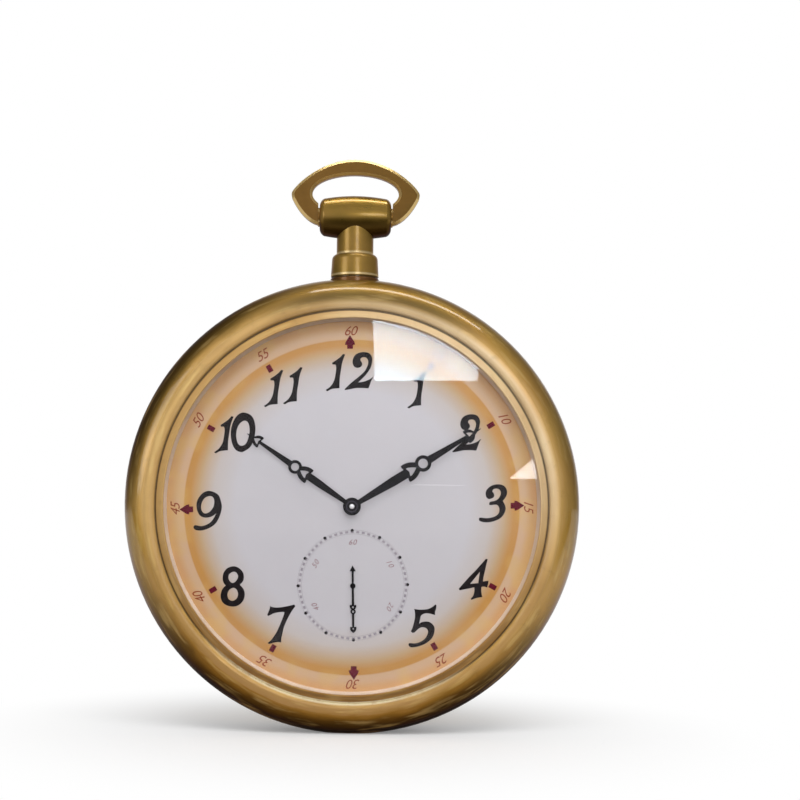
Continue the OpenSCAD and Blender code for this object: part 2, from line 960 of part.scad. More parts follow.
module back_plate() {
    color(brass)
    at_dial()
    difference() {
        plate_blank(back_plate_z);
        at_corners()
            bar(bolt_d / 2 + hole_fit, plate_back - 1, plate_back + plate_t + 1);
        bar(bush_r, plate_back - 1, plate_back + plate_t + 1);
        at_motor()
            bar(motor_boss_r, plate_back - 1, plate_back + plate_t + 1);
        at_motor_screws()
            bar(motor_screw_d / 2 + hole_fit, plate_back - 1, plate_back + plate_t + 1);
    }
}

module plate_pillars() {
    color(brass)
    at_dial()
    at_corners()
    difference() {
        bar(bolt_d, plate_back + plate_t, front_plate_z);
        bar(bolt_d / 2 + hole_fit, plate_back, front_plate_z + 1);
    }
}

module dial_spacers() {
    color(brass)
    at_dial()
    at_corners()
    difference() {
        bar(bolt_d, front_plate_z + plate_t, frame_back);
        bar(bolt_d / 2 + hole_fit, front_plate_z, frame_back + 1);
    }
}

module movement_bolts() {
    color(steel)
    at_dial()
    at_corners()
        screw(bolt_d, plate_back, dial_back - blind - 1);
}

module arbor_bushes() {
    color([0.8, 0.5, 0.3])
    at_dial()
    for (z = [back_plate_z, front_plate_z])
        difference() {
            bar(bush_r, z, z + plate_t);
            bar(arbor_d / 2 + run_fit, z - 1, z + plate_t + 1);
        }
}

module centre_arbor() {
    color(steel)
    at_dial()
        bar(arbor_d / 2, plate_back - 6, nut_z + 3);
}

// Angle between a flank's start on the base circle and its point at radius r
function unwound(base_r, r) =
    let (a = acos(min(1, base_r / r)))
    tan(a) * 180 / PI - a;

// A gear's outline with a tooth pointing along +X
function gear_outline(teeth, m, add, ded) =
    let (
        pitch_r = m * teeth / 2,
        base_r = pitch_r * cos(20),
        root_r = pitch_r - ded,
        tip_r = pitch_r + add,
        start_r = max(base_r, root_r),
        half = 90 / teeth - tooth_slack / 2 / pitch_r * 180 / PI + unwound(base_r, pitch_r),
        steps = 4,
        flank = [
            for (i = [0 : steps])
                let (r = start_r + (tip_r - start_r) * i / steps)
                [r, half - unwound(base_r, r)]
        ],
        right = concat(root_r < start_r ? [[root_r, half - unwound(base_r, start_r)]] : [], flank)
    )
    [
        for (k = [0 : teeth - 1])
            for (side = [0, 1])
                for (i = [0 : len(right) - 1])
                    let (
                        p = side == 0 ? right[i] : right[len(right) - 1 - i],
                        a = k * 360 / teeth + (side == 0 ? -p[1] : p[1])
                    )
                    [p[0] * cos(a), p[0] * sin(a)]
    ];

// A pinion, whose teeth are long over the pitch circle
module pinion(teeth, m, low, high) {
    translate([0, 0, low])
        linear_extrude(high - low)
            polygon(gear_outline(teeth, m, m, m * 1.05));
}

// A wheel with shorter teeth and five round spoke windows
module wheel(teeth, m, low, hub_r) {
    rim_r = m * teeth / 2 - m * 1.25 - 5;
    window_r = (rim_r - hub_r) / 2 - 1;
    translate([0, 0, low])
        linear_extrude(wheel_t)
            difference() {
                polygon(gear_outline(teeth, m, m * 0.75, m * 1.25));
                for (i = [0 : 4])
                    rotate(36 + i * 72)
                        translate([(rim_r + hub_r) / 2, 0])
                            circle(r = window_r);
            }
}

module drive_wheel() {
    hub_r = arbor_d / 2 + 6;
    color(brass)
    at_dial()
    difference() {
        union() {
            rotate(90 + 180 / drive_wheel_teeth)
                wheel(drive_wheel_teeth, drive_module, drive_z, hub_r);
            bar(hub_r, drive_z - 4, drive_z + wheel_t + 4);
        }
        bar(arbor_d / 2, drive_z - 5, drive_z + wheel_t + 5);
    }
}

// Repeats a piece at the three screws around the motor's shaft
module at_motor_screws() {
    at_motor()
        around(3, motor_d / 2 - 10, motor_screw_first)
            children();
}

module motor_pinion() {
    color(steel)
    at_dial()
    at_motor() {
        rotate(-90)
            pinion(motor_pinion_teeth, drive_module, drive_z - 3, drive_z + wheel_t + 3);
        bar(motor_shaft_r, plate_back - shaft_depth, drive_z + wheel_t + 6);
    }
}

module drive_motor() {
    color(dark)
    at_dial()
    difference() {
        at_motor() {
            bar(motor_d / 2, plate_back - motor_l, plate_back);
            bar(motor_boss_r, plate_back - 1, plate_back + plate_t + 2);
            bar(motor_d / 2 - 6, plate_back - motor_l - 6, plate_back - motor_l + 1);
        }
        at_motor()
            bar(motor_shaft_r + run_fit, plate_back - shaft_depth - 1, plate_back + plate_t + 3);
        at_motor_screws()
            bar(motor_screw_d / 2 + hole_fit, plate_back - 9, plate_back + 1);
    }
}

module motor_screws() {
    color(steel)
    at_dial()
    at_motor_screws()
        translate([0, 0, plate_back + plate_t])
            mirror([0, 0, 1])
                screw(motor_screw_d, 0, plate_t + 8);
}

module cannon_pinion() {
    color(steel)
    at_dial()
    difference() {
        union() {
            pinion(cannon_teeth, motion_module, minute_wheel_z - 1, minute_wheel_z + wheel_t + 1);
            bar(cannon_pipe_d / 2, front_plate_z + plate_t + 1, nut_z - boss_up);
        }
        bar(arbor_d / 2, front_plate_z, nut_z + 1);
    }
}

module minute_wheel() {
    pinion_top = stud_top - end_gap;
    color(brass)
    at_dial()
    at_stud()
    difference() {
        union() {
            rotate(180 + 180 / minute_wheel_teeth)
                wheel(minute_wheel_teeth, motion_module, minute_wheel_z, minute_pinion_teeth);
            rotate(180)
                pinion(minute_pinion_teeth, motion_module, minute_wheel_z + wheel_t - 0.5, pinion_top);
        }
        bar(stud_d / 2 + run_fit, minute_wheel_z - 1, pinion_top + 1);
    }
}

module minute_stud() {
    color(steel)
    at_dial()
    at_stud() {
        bar(stud_d / 2, front_plate_z, stud_top);
        bar(stud_d / 2 + 3, front_plate_z + plate_t, minute_wheel_z - end_gap);
        bar(stud_d / 2 + 3, stud_top, stud_top + 3);
    }
}

module hour_wheel() {
    color(brass)
    at_dial()
    difference() {
        union() {
            rotate(180 / hour_wheel_teeth)
                wheel(hour_wheel_teeth, motion_module, hour_wheel_z, hour_pipe_d / 2 + 4);
            bar(hour_pipe_d / 2, minute_wheel_z + wheel_t + 1 + end_gap, hour_hand_z + hand_t + boss_up);
            bar(hour_pipe_d / 2 + 4, hour_wheel_z - 1, hour_wheel_z + wheel_t + 2);
        }
        bar(cannon_pipe_d / 2 + run_fit, minute_wheel_z, minute_hand_z);
    }
}

// A heart pointing along +Y with its lobes' backs on Y = 0
module heart(w, l, tip_w) {
    lobe = [w / 2, 1];
    polygon(mirrored(concat(
        [[0, l * 0.12], [w * 0.24, l * 0.06], [w * 0.4, 0], lobe],
        curve(lobe, [w * 0.54, l * 0.5], [w * 0.4, l * 0.8], [tip_w / 2, l], 8),
        [[0, l]]
    )));
}

// The window of a heart
module heart_window(w, l) {
    polygon(mirrored(concat(
        [[0, l * 0.34], [w * 0.23, l * 0.24]],
        curve([w * 0.23, l * 0.24], [w * 0.27, l * 0.36], [w * 0.12, l * 0.7], [0, l * 0.9], 6)
    )));
}

// An open-work hand lying along +Y
module open_hand(length, ring_at, ring_d, wide, heart_w, heart_l, spade_w, spade_l) {
    ring_r = ring_d / 2;
    heart_at = ring_at - ring_r - heart_l + 5;
    spade_at = length - spade_l - hand_tip_l;
    linear_extrude(hand_t)
        difference() {
            union() {
                circle(r = hub_d / 2);
                polygon(mirrored([
                    [0, 0], [wide * 0.22, 0], [wide / 2, heart_at * 0.78], [wide / 2, heart_at + 5],
                    [0, heart_at + 5]
                ]));
                translate([0, heart_at])
                    heart(heart_w, heart_l, ring_d * 0.62);
                translate([0, ring_at])
                    circle(r = ring_r);
                polygon(mirrored([
                    [0, ring_at], [wide * 0.41, ring_at + ring_r - 2], [wide * 0.2, spade_at + 3],
                    [0, spade_at + 3]
                ]));
                translate([0, spade_at])
                    heart(spade_w, spade_l, 9);
                polygon(mirrored([
                    [0, spade_at + spade_l - 1], [4.5, spade_at + spade_l - 1], [0.8, length],
                    [0, length]
                ]));
            }
            translate([0, heart_at])
                heart_window(heart_w, heart_l);
            translate([0, ring_at])
                circle(r = ring_r * ring_hole);
            translate([0, spade_at])
                heart_window(spade_w * 1.1, spade_l);
        }
}

module hour_hand() {
    color(dark)
    at_dial()
    difference() {
        union() {
            translate([0, 0, hour_hand_z])
                rotate(dial_turn - hour_angle)
                    open_hand(hour_len, hour_ring_at, hour_ring_d, hour_blade_w, hour_heart_w,
                        hour_heart_l, hour_spade_w, hour_spade_l);
            bar(hour_pipe_d / 2 + boss_wall, hour_hand_z - boss_up, hour_hand_z + hand_t + boss_up);
        }
        bar(hour_pipe_d / 2, hour_hand_z - 3, hour_hand_z + hand_t + 3);
    }
}

module minute_hand() {
    color(dark)
    at_dial()
    difference() {
        union() {
            translate([0, 0, minute_hand_z])
                rotate(dial_turn - minute_angle)
                    open_hand(minute_len, minute_ring_at, minute_ring_d, minute_blade_w,
                        minute_heart_w, minute_heart_l, minute_spade_w, minute_spade_l);
            bar(cannon_pipe_d / 2 + boss_wall, minute_hand_z - boss_up, nut_z);
        }
        bar(cannon_pipe_d / 2, minute_hand_z - 3, nut_z - boss_up);
        bar(arbor_d / 2, minute_hand_z, nut_z + 1);
    }
}

module hand_nut() {
    nut_r = arbor_d / 2 + 2.5;
    color([0.92, 0.92, 0.9])
    at_dial()
    difference() {
        union() {
            bar(nut_r, nut_z, nut_z + 3);
            translate([0, 0, nut_z + 3])
                intersection() {
                    sphere(r = nut_r);
                    bar(nut_r, 0, nut_r);
                }
        }
        bar(arbor_d / 2, nut_z - 1, nut_z + 3);
    }
}

// Places a piece on the small dial's axis
module at_small_dial() {
    rotate(dial_turn)
        translate([0, -small_dial_drop, 0])
            children();
}

// Repeats a piece at the seconds motor's two screws
module at_second_motor_screws() {
    at_small_dial()
        for (side = [-1, 1])
            translate([side * second_screw_off, side * second_screw_off, 0])
                children();
}

// Repeats a piece at the battery box's two screws
module at_battery_screws() {
    for (side = [-1, 1])
        translate([0, side * battery_screw_off - battery_drop, 0])
            children();
}

module seconds_motor() {
    color(dark)
    at_dial()
    difference() {
        at_small_dial()
            translate([-second_motor_w / 2, -second_motor_w / 2, second_motor_z])
                cube([second_motor_w, second_motor_w, second_motor_h]);
        at_small_dial()
            bar(second_arbor_d / 2 + run_fit, frame_back - second_arbor_depth - 1, frame_back + 1);
        at_second_motor_screws()
            bar(small_screw_d / 2 + hole_fit, second_motor_z - 1, frame_back + 1);
    }
}

module seconds_motor_screws() {
    color(steel)
    at_dial()
    at_second_motor_screws()
        screw(small_screw_d, second_motor_z, dial_back - blind - 1);
}

module seconds_arbor() {
    color(steel)
    at_dial()
    at_small_dial()
        bar(second_arbor_d / 2, frame_back - second_arbor_depth, second_hand_z + 2);
}

// The seconds hand's outline lying along +Y
module second_outline() {
    half = second_blade_w / 2;
    ring_r = second_ring_d / 2;
    heart_l = 14;
    heart_at = second_ring_at - ring_r - heart_l + 2;
    head_l = 18;
    head_at = second_len - head_l;
    tail_l = 17;
    difference() {
        union() {
            circle(r = second_boss_r);
            polygon(mirrored([
                [0, tail_l - second_tail_l], [half * 0.9, tail_l - second_tail_l],
                [half * 0.8, 0], [half, heart_at], [half * 0.85, head_at + 4], [0, head_at + 4]
            ]));
            translate([0, heart_at])
                heart(second_heart_w, heart_l, second_ring_d / 2);
            translate([0, second_ring_at])
                circle(r = ring_r);
            translate([0, head_at])
                heart(second_head_w, head_l, 1);
            translate([0, tail_l - second_tail_l])
                polygon([[-second_head_w / 2, 0], [second_head_w / 2, 0], [0, -tail_l]]);
        }
        translate([0, heart_at + heart_l / 2])
            circle(r = heart_l * 0.2);
        translate([0, second_ring_at])
            circle(r = ring_r * 0.42);
        translate([0, head_at + 6])
            circle(r = head_l * 0.14);
    }
}

module seconds_hand() {
    color(dark)
    at_dial()
    at_small_dial()
    difference() {
        union() {
            translate([0, 0, second_hand_z])
                rotate(-second_angle)
                    linear_extrude(second_hand_t)
                        second_outline();
            bar(second_boss_r, second_hand_z - 1, second_hand_z + second_hand_t + 1);
        }
        bar(second_arbor_d / 2, second_hand_z - 2, second_hand_z + 2);
    }
}

// A block centred on the battery box's middle
module battery_block(wide, tall, low, high) {
    translate([-wide / 2, -battery_drop - tall / 2, low])
        cube([wide, tall, high - low]);
}

module battery_box() {
    color(dark)
    at_dial()
    difference() {
        battery_block(battery_w, battery_h, battery_z, frame_back);
        battery_block(battery_w - 2 * battery_wall, battery_h - 2 * battery_wall,
            battery_z - 1, frame_back - battery_wall);
        at_battery_screws()
            bar(small_screw_d / 2 + hole_fit, battery_z, frame_back + 1);
    }
}

module battery_screws() {
    color(steel)
    at_dial()
    at_battery_screws()
        screw(small_screw_d, frame_back - battery_wall, dial_back - blind - 1);
}

module battery_lid() {
    lip_w = 2 * (battery_wall + end_gap);
    color([0.25, 0.25, 0.27])
    at_dial() {
        battery_block(battery_w, battery_h, battery_z - battery_wall, battery_z);
        battery_block(battery_w - lip_w, battery_h - lip_w, battery_z - 1, battery_z + battery_wall);
    }
}

case_band();
foot_weight();
rear_cover();
cover_screws();
bezel_ring();
bezel_screws();
crystal_gasket();
crystal();
reflector_ring();
dial_plate();
dial_studs();
dial_frame();
frame_brackets();
frame_bolts();
bead_ring();
stem_collar();
stem_neck();
crown_barrel();
stem_rod();
stem_nut();
backing_plate();
bow();
bow_pins();
bow_washers();
front_plate();
back_plate();
plate_pillars();
dial_spacers();
movement_bolts();
arbor_bushes();
centre_arbor();
drive_wheel();
motor_pinion();
drive_motor();
motor_screws();
cannon_pinion();
minute_wheel();
minute_stud();
hour_wheel();
hour_hand();
minute_hand();
hand_nut();
seconds_motor();
seconds_motor_screws();
seconds_arbor();
seconds_hand();
battery_box();
battery_screws();
battery_lid();
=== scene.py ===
import math

import bmesh
import bpy
from mathutils import Matrix, Vector


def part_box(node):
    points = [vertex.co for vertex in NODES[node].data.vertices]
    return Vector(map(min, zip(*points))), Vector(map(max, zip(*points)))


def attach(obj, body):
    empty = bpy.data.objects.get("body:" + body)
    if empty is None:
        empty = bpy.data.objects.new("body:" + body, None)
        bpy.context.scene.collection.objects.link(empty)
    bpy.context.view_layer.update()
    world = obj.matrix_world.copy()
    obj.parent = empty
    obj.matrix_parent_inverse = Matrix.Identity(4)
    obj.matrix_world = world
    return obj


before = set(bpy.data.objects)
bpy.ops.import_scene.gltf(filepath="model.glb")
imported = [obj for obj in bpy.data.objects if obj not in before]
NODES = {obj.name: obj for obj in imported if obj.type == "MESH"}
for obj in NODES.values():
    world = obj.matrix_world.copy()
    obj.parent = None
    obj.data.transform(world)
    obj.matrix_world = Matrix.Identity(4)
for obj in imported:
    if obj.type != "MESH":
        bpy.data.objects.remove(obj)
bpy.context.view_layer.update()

# Sizes are in metres, in the frame of the CAD model: the dial faces -Y and the foot stands on Z = 0.
MM = 0.001
DIAL_UP = 0.665789                    # the height of the dial's centre
DIAL_TURN = math.radians(1.35)        # the dial sits a little anticlockwise in its case
DIAL_RADIUS = 549 * MM
DIAL_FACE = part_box("dial_plate")[0].y
SMALL_DIAL_DROP = 230.2 * MM          # from the dial's centre down to the small dial's
CRYSTAL_OPENING = 548 * MM            # the dome's radius at its rim
CRYSTAL_RISE = 32 * MM
HUB_GROOVE = (15.5 * MM, 4.0 * MM)    # radius and width of the groove turned in the hands' hub

# The print on the dial. The places are radii from the centre of the dial, or of the small dial.
PRINT_SUNK = 0.1 * MM
PRINT_PROUD = 0.15 * MM
PRINT_DEEP = PRINT_SUNK + PRINT_PROUD
MARKS_LOW = 3.0 * MM                  # the rings and marks sit this much below the dial's centre
ORANGE_EDGE = 491.3 * MM              # where the orange band ends and the edge band starts
STRAW_SPAN = (460 * MM, 500 * MM)     # where straw-coloured clouds start to show
MINUTE_FIGURES_AT = 515 * MM
ARROWS_AT = 483 * MM
BLOCKS_AT = 472 * MM
SMALL_FIGURES_AT = 125 * MM
DOTS_AT = 160 * MM
DOT_RADIUS = 4.7 * MM
DOT_SIDES = 16
TICKS_AT = 155.8 * MM
TRACK_LINES_AT = (150.0 * MM, 161.6 * MM)
TRACK_LINE_WIDTH = 0.8 * MM
STROKES_FULLER = 0.5 * MM             # how far the hour figures' outlines are moved outwards
ONE_FULLER = 1.4 * MM                 # and the 1's, which is the thinnest
FONT_SHARE = 0.7                      # a figure's height as a share of its font's size
NONE_EMPTY = 1000                     # more places than any ring of marks has

# Where the case's paint changes, and where painted light and shade lie on it: spans of the radius from the
# dial's axis, and ways from it as (right, up).
UPWARDS = (0.1, 1.0)
DARK_PATCH_WAY = (-0.80, 0.60)
DARK_PATCH_SPAN = (0.604, 0.658)
PAINTED_HIGHLIGHT_WAY = (0.70, 0.71)
PAINTED_HIGHLIGHT_SPAN = (0.590, 0.608)
BRIGHT_SPAN = (0.594, 0.612)
METAL_SPAN = (0.592, 0.606)
COAT_SPAN = (0.600, 0.622)
# The patch under the stem is painted shade.
STEM_SHADE = (0.614, 0.080)           # radius and width of the olive patch under the stem

# The camera. The photograph is square, and its dial's centre is given in pixels right and down.
PHOTO_PIXELS = 800
FOCAL_PIXELS = 1613.3
DIAL_IN_PHOTO = (351.9, 506.5)
SENSOR_WIDTH = 36.0                   # in millimetres
CAMERA_ROLL = math.radians(0.7)
CAMERA_AWAY = 4.8


def paint(red, green, blue):
    """A screen colour of 0 to 255 as the colour that a shader takes."""
    linear = (((c / 255 + 0.055) / 1.055) ** 2.4 if c > 10 else c / 3295 for c in (red, green, blue))
    return (*linear, 1.0)


def grey(value):
    return (value, value, value, 1.0)


def placed(name, data):
    """A new object in the scene."""
    holder = bpy.data.objects.new(name, data)
    bpy.context.scene.collection.objects.link(holder)
    return holder


def set_camera():
    camera = bpy.data.cameras.new("photo_camera")
    camera.sensor_width = SENSOR_WIDTH
    camera.lens = FOCAL_PIXELS / PHOTO_PIXELS * SENSOR_WIDTH
    right, down = DIAL_IN_PHOTO
    camera.shift_x = (PHOTO_PIXELS / 2 - right) / PHOTO_PIXELS
    camera.shift_y = (down - PHOTO_PIXELS / 2) / PHOTO_PIXELS
    camera.clip_start, camera.clip_end = 0.1, 100.0
    holder = placed("photo_camera", camera)
    level = Matrix.Rotation(math.radians(90), 4, "X")
    roll = Matrix.Rotation(CAMERA_ROLL, 4, "Z")
    holder.matrix_world = Matrix.Translation((0, -CAMERA_AWAY, DIAL_UP)) @ level @ roll
    bpy.context.scene.camera = holder


# ---------------------------------------------------------------- nodes

class Nodes:
    """A node tree in the making, with short names for the nodes that the trees here share."""

    def __init__(self, tree):
        self.tree = tree

    def add(self, kind, **settings):
        node = self.tree.nodes.new(kind)
        for key, value in settings.items():
            setattr(node, key, value)
        return node

    def put(self, socket, value):
        """Joins another node's output to a socket, or sets a plain value on it, or leaves it for None."""
        if isinstance(value, bpy.types.NodeSocket):
            self.tree.links.new(value, socket)
        elif value is not None:
            socket.default_value = value

    def give(self, node, **values):
        """Puts values on a node's sockets by name, with _ for a space."""
        for key, value in values.items():
            self.put(node.inputs[key.replace("_", " ")], value)
        return node

    def math(self, operation, *values):
        node = self.add("ShaderNodeMath", operation=operation)
        for socket, value in zip(node.inputs, values):
            self.put(socket, value)
        return node.outputs["Value"]

    def chain(self, operation, first, *others):
        """The same operation on all the values, from the first to the last."""
        for other in others:
            first = self.math(operation, first, other)
        return first

    def times(self, *values):
        return self.chain("MULTIPLY", *values)

    def vector(self, operation, first, second=None):
        node = self.add("ShaderNodeVectorMath", operation=operation)
        self.put(node.inputs[0], first)
        self.put(node.inputs["Scale" if operation == "SCALE" else 1], second)
        return node.outputs["Value" if operation in ("LENGTH", "DOT_PRODUCT") else "Vector"]

    def part(self, vector, axis):
        node = self.add("ShaderNodeSeparateXYZ")
        self.put(node.inputs[0], vector)
        return node.outputs[axis]

    def combine(self, x=None, y=None, z=None):
        return self.give(self.add("ShaderNodeCombineXYZ"), X=x, Y=y, Z=z).outputs["Vector"]

    def spread(self, value, low, high, to_low=0.0, to_high=1.0, how="SMOOTHSTEP"):
        """Turns low..high of a value into to_low..to_high, and holds it there beyond."""
        node = self.add("ShaderNodeMapRange", interpolation_type=how)
        self.give(node, Value=value, From_Min=low, From_Max=high, To_Min=to_low, To_Max=to_high)
        return node.outputs["Result"]

    def near(self, value, centre, width):
        """One at the centre, falling to nothing at half the width on each side."""
        away = self.math("ABSOLUTE", self.math("SUBTRACT", value, centre))
        return self.spread(away, 0.0, width / 2, 1.0, 0.0)

    def ramp(self, value, stops):
        node = self.give(self.add("ShaderNodeValToRGB"), Fac=value)
        band = node.color_ramp
        band.elements[0].position, band.elements[0].color = stops[0]
        band.elements[1].position, band.elements[1].color = stops[-1]
        for position, colour in stops[1:-1]:
            band.elements.new(position).color = colour
        return node.outputs["Color"]

    def blend(self, amount, first, second, how="MIX"):
        node = self.add("ShaderNodeMix", data_type="RGBA", blend_type=how)
        for index, value in ((0, amount), (6, first), (7, second)):
            self.put(node.inputs[index], value)
        return node.outputs[2]

    def emission(self, strength):
        return self.give(self.add("ShaderNodeEmission"), Strength=strength).outputs[0]

    def shaders(self, kind, *inputs):
        """Two shaders added together, or mixed by the share that comes before them."""
        node = self.add(kind)
        for socket, value in zip(node.inputs, inputs):
            self.put(socket, value)
        return node.outputs[0]


class Finish(Nodes):
    """A material in the making, worked from the place on the object."""

    def __init__(self, name):
        self.material = bpy.data.materials.new(name)
        self.material.use_nodes = True
        super().__init__(self.material.node_tree)
        self.shader = self.tree.nodes["Principled BSDF"]
        coordinates = self.add("ShaderNodeTexCoord").outputs
        self.place, self.facing = coordinates["Object"], coordinates["Normal"]

    def surface(self, **values):
        self.give(self.shader, **values)

    def done(self, colour, roughness, normal):
        self.surface(Base_Color=colour, Roughness=roughness, Normal=normal)
        return self.material

    def axis(self, name):
        return self.part(self.place, name)

    def noise(self, scale, detail=4.0, roughness=0.55, distortion=0.0):
        node = self.add("ShaderNodeTexNoise")
        self.give(node, Vector=self.place, Scale=scale, Detail=detail, Roughness=roughness,
                  Distortion=distortion)
        return node.outputs["Fac"]

    def bump(self, height, strength, distance, under=None):
        node = self.add("ShaderNodeBump")
        self.give(node, Height=height, Strength=strength, Distance=distance, Normal=under)
        return node.outputs["Normal"]

    def around_dial(self, up=DIAL_UP):
        """The distance from the dial's axis, or from one at another height, and the direction from it."""
        flat = self.add("ShaderNodeMapping")
        self.give(flat, Vector=self.place, Location=(0, 0, -up), Scale=(1, 0, 1))
        across = flat.outputs["Vector"]
        return self.vector("LENGTH", across), self.vector("NORMALIZE", across)

    def streaks(self, across, along, deep):
        """Fine streaks that run round the dial's axis, as a brush or a polishing wheel leaves them."""
        radius, way = self.around_dial()
        point = self.combine(self.times(self.part(way, "X"), along), self.times(radius, across),
                             self.times(self.part(way, "Z"), along))
        node = self.add("ShaderNodeTexNoise", noise_dimensions="4D")
        self.give(node, Vector=point, W=self.times(self.axis("Y"), deep), Scale=1.0, Detail=3.0)
        return node.outputs["Fac"]

    def to_world(self, vector):
        node = self.add("ShaderNodeVectorTransform", vector_type="VECTOR", convert_from="OBJECT",
                        convert_to="WORLD")
        self.put(node.inputs[0], vector)
        return node.outputs[0]

    def flatter(self, radius, inner, outer, share):
        """The surface's normal, leaned forwards on the front between two radii from the dial's axis."""
        middle, half = (inner + outer) / 2, (outer - inner) / 2
        away = self.math("ABSOLUTE", self.math("SUBTRACT", radius, middle))
        between_radii = self.spread(away, half - 2 * MM, half + 6 * MM, -3.0, 0.0)
        on_the_front = self.spread(self.axis("Y"), -50 * MM, -10 * MM, 1.0, 0.0)
        lean = self.times(between_radii, on_the_front, share)
        normal = self.add("ShaderNodeNewGeometry").outputs["Normal"]
        return self.vector("NORMALIZE", self.vector("ADD", normal, self.to_world(self.combine(y=lean))))

    def dome_normal(self, centre):
        """The dome's normal from its own centre, which stays true where the mesh's thin triangles meet."""
        outwards = self.vector("NORMALIZE", self.to_world(self.vector("SUBTRACT", self.place, centre)))
        surface = self.add("ShaderNodeNewGeometry").outputs
        facing = self.vector("DOT_PRODUCT", outwards, surface["True Normal"])
        on_the_dome = self.spread(self.math("ABSOLUTE", facing), 0.94, 0.98)
        either = self.add("ShaderNodeMix", data_type="VECTOR")
        self.put(either.inputs[0], on_the_dome)
        self.put(either.inputs[4], surface["Normal"])
        self.put(either.inputs[5], self.vector("SCALE", outwards, self.math("SIGN", facing)))
        return either.outputs[1]


class GoldPaint(Finish):
    """Gold paint over a moulded shell, with what its colours follow: clouds, brush streaks and place."""

    def __init__(self, name):
        super().__init__(name)
        self.clouds = self.noise(3.2, detail=3.0, distortion=0.6)
        self.brush = self.streaks(55.0, 5.0, 55.0)
        self.radius, self.way = self.around_dial()
        self.height = self.axis("Z")
        self.upwards = self.towards(*UPWARDS)

    def towards(self, right, up):
        """How far the way from the dial's axis points right and up: about one where it does so fully."""
        return self.vector("DOT_PRODUCT", self.way, (right, 0.0, up))

    def bronzed(self, bands, light, olive, dark, coat):
        """The gold of the case's front, darker outwards and low down as painted shade, and its clear coat's
        share.
        Its colours go by radius, low down and high up. On them lie a darker patch high on the left, a painted
        highlight at the upper right and painted shade under the stem."""
        first, last = bands[0][0][0], bands[0][-1][0]
        ragged = self.chain("ADD", self.radius, self.spread(self.clouds, 0.3, 0.7, -7 * MM, 7 * MM),
                            self.spread(self.brush, 0.3, 0.7, -4 * MM, 4 * MM))
        part = self.spread(ragged, first, last, how="LINEAR")
        low, high = (self.ramp(part, [((at - first) / (last - first), colour) for at, colour in band])
                     for band in bands)
        # Low down the darker colours are used: painted shade, as is their darkening outwards.
        upper = self.spread(self.upwards, -0.86, -0.10)
        tone = self.blend(upper, low, high)
        # A darker patch high on the left, towards the outer edge.
        dark_upper_left = self.times(self.spread(self.towards(*DARK_PATCH_WAY), 0.70, 0.98, 0.0, 0.8),
                           self.spread(ragged, *DARK_PATCH_SPAN))
        tone = self.blend(dark_upper_left, tone, dark)
        # A painted highlight on the inner half at the upper right.
        painted_highlight = self.times(self.spread(self.towards(*PAINTED_HIGHLIGHT_WAY), 0.40, 0.95, 0.0, 0.75),
                           self.spread(self.radius, *PAINTED_HIGHLIGHT_SPAN, 1.0, 0.0))
        tone = self.blend(painted_highlight, tone, paint(244, 218, 178))
        # Painted shade under the stem, darker and olive.
        shade_under_stem = self.times(self.spread(self.upwards, 0.82, 0.98, 0.0, 0.95),
                                self.near(self.radius, *STEM_SHADE))
        tone = self.blend(shade_under_stem, tone, paint(126, 100, 34))
        tone = self.blend(self.spread(self.clouds, 0.35, 0.65, 0.30, 0.0), tone, olive, "MULTIPLY")
        tone = self.blend(self.spread(self.brush, 0.50, 0.72, 0.0, 0.30), tone, light, "SCREEN")
        bright = self.math("MAXIMUM", upper, self.spread(ragged, *BRIGHT_SPAN, 1.0, 0.0))
        return tone, self.times(bright, self.spread(dark_upper_left, 0.0, 0.8, coat, 0.1))

    def soil(self, dirt, rings):
        """Faint blotches all over and dirt in the joints, with less of it low down. The darkness in the joint
        round the dial is partly painted shade, which fades low down where light falls into the joint.
        """
        blotches = self.spread(self.noise(26.0, detail=6.0, roughness=0.7), 0.52, 0.74)
        faint = self.times(blotches, 0.12)
        joints = [self.near(self.height, *joint) for joint in dirt]
        joints += [self.near(self.radius, *joint) for joint in rings]
        if not joints:
            return faint
        packed = self.times(self.chain("MAXIMUM", *joints), self.spread(blotches, 0.0, 1.0, 0.8, 1.0))
        # Round the dial the joints' darkness is partly painted shade, weaker low down where the joint faces
        # the light.
        if rings:
            packed = self.times(packed, self.spread(self.upwards, -0.97, -0.6, 0.1, 1.0))
        return self.math("MAXIMUM", packed, faint)


# ---------------------------------------------------------------- finishes

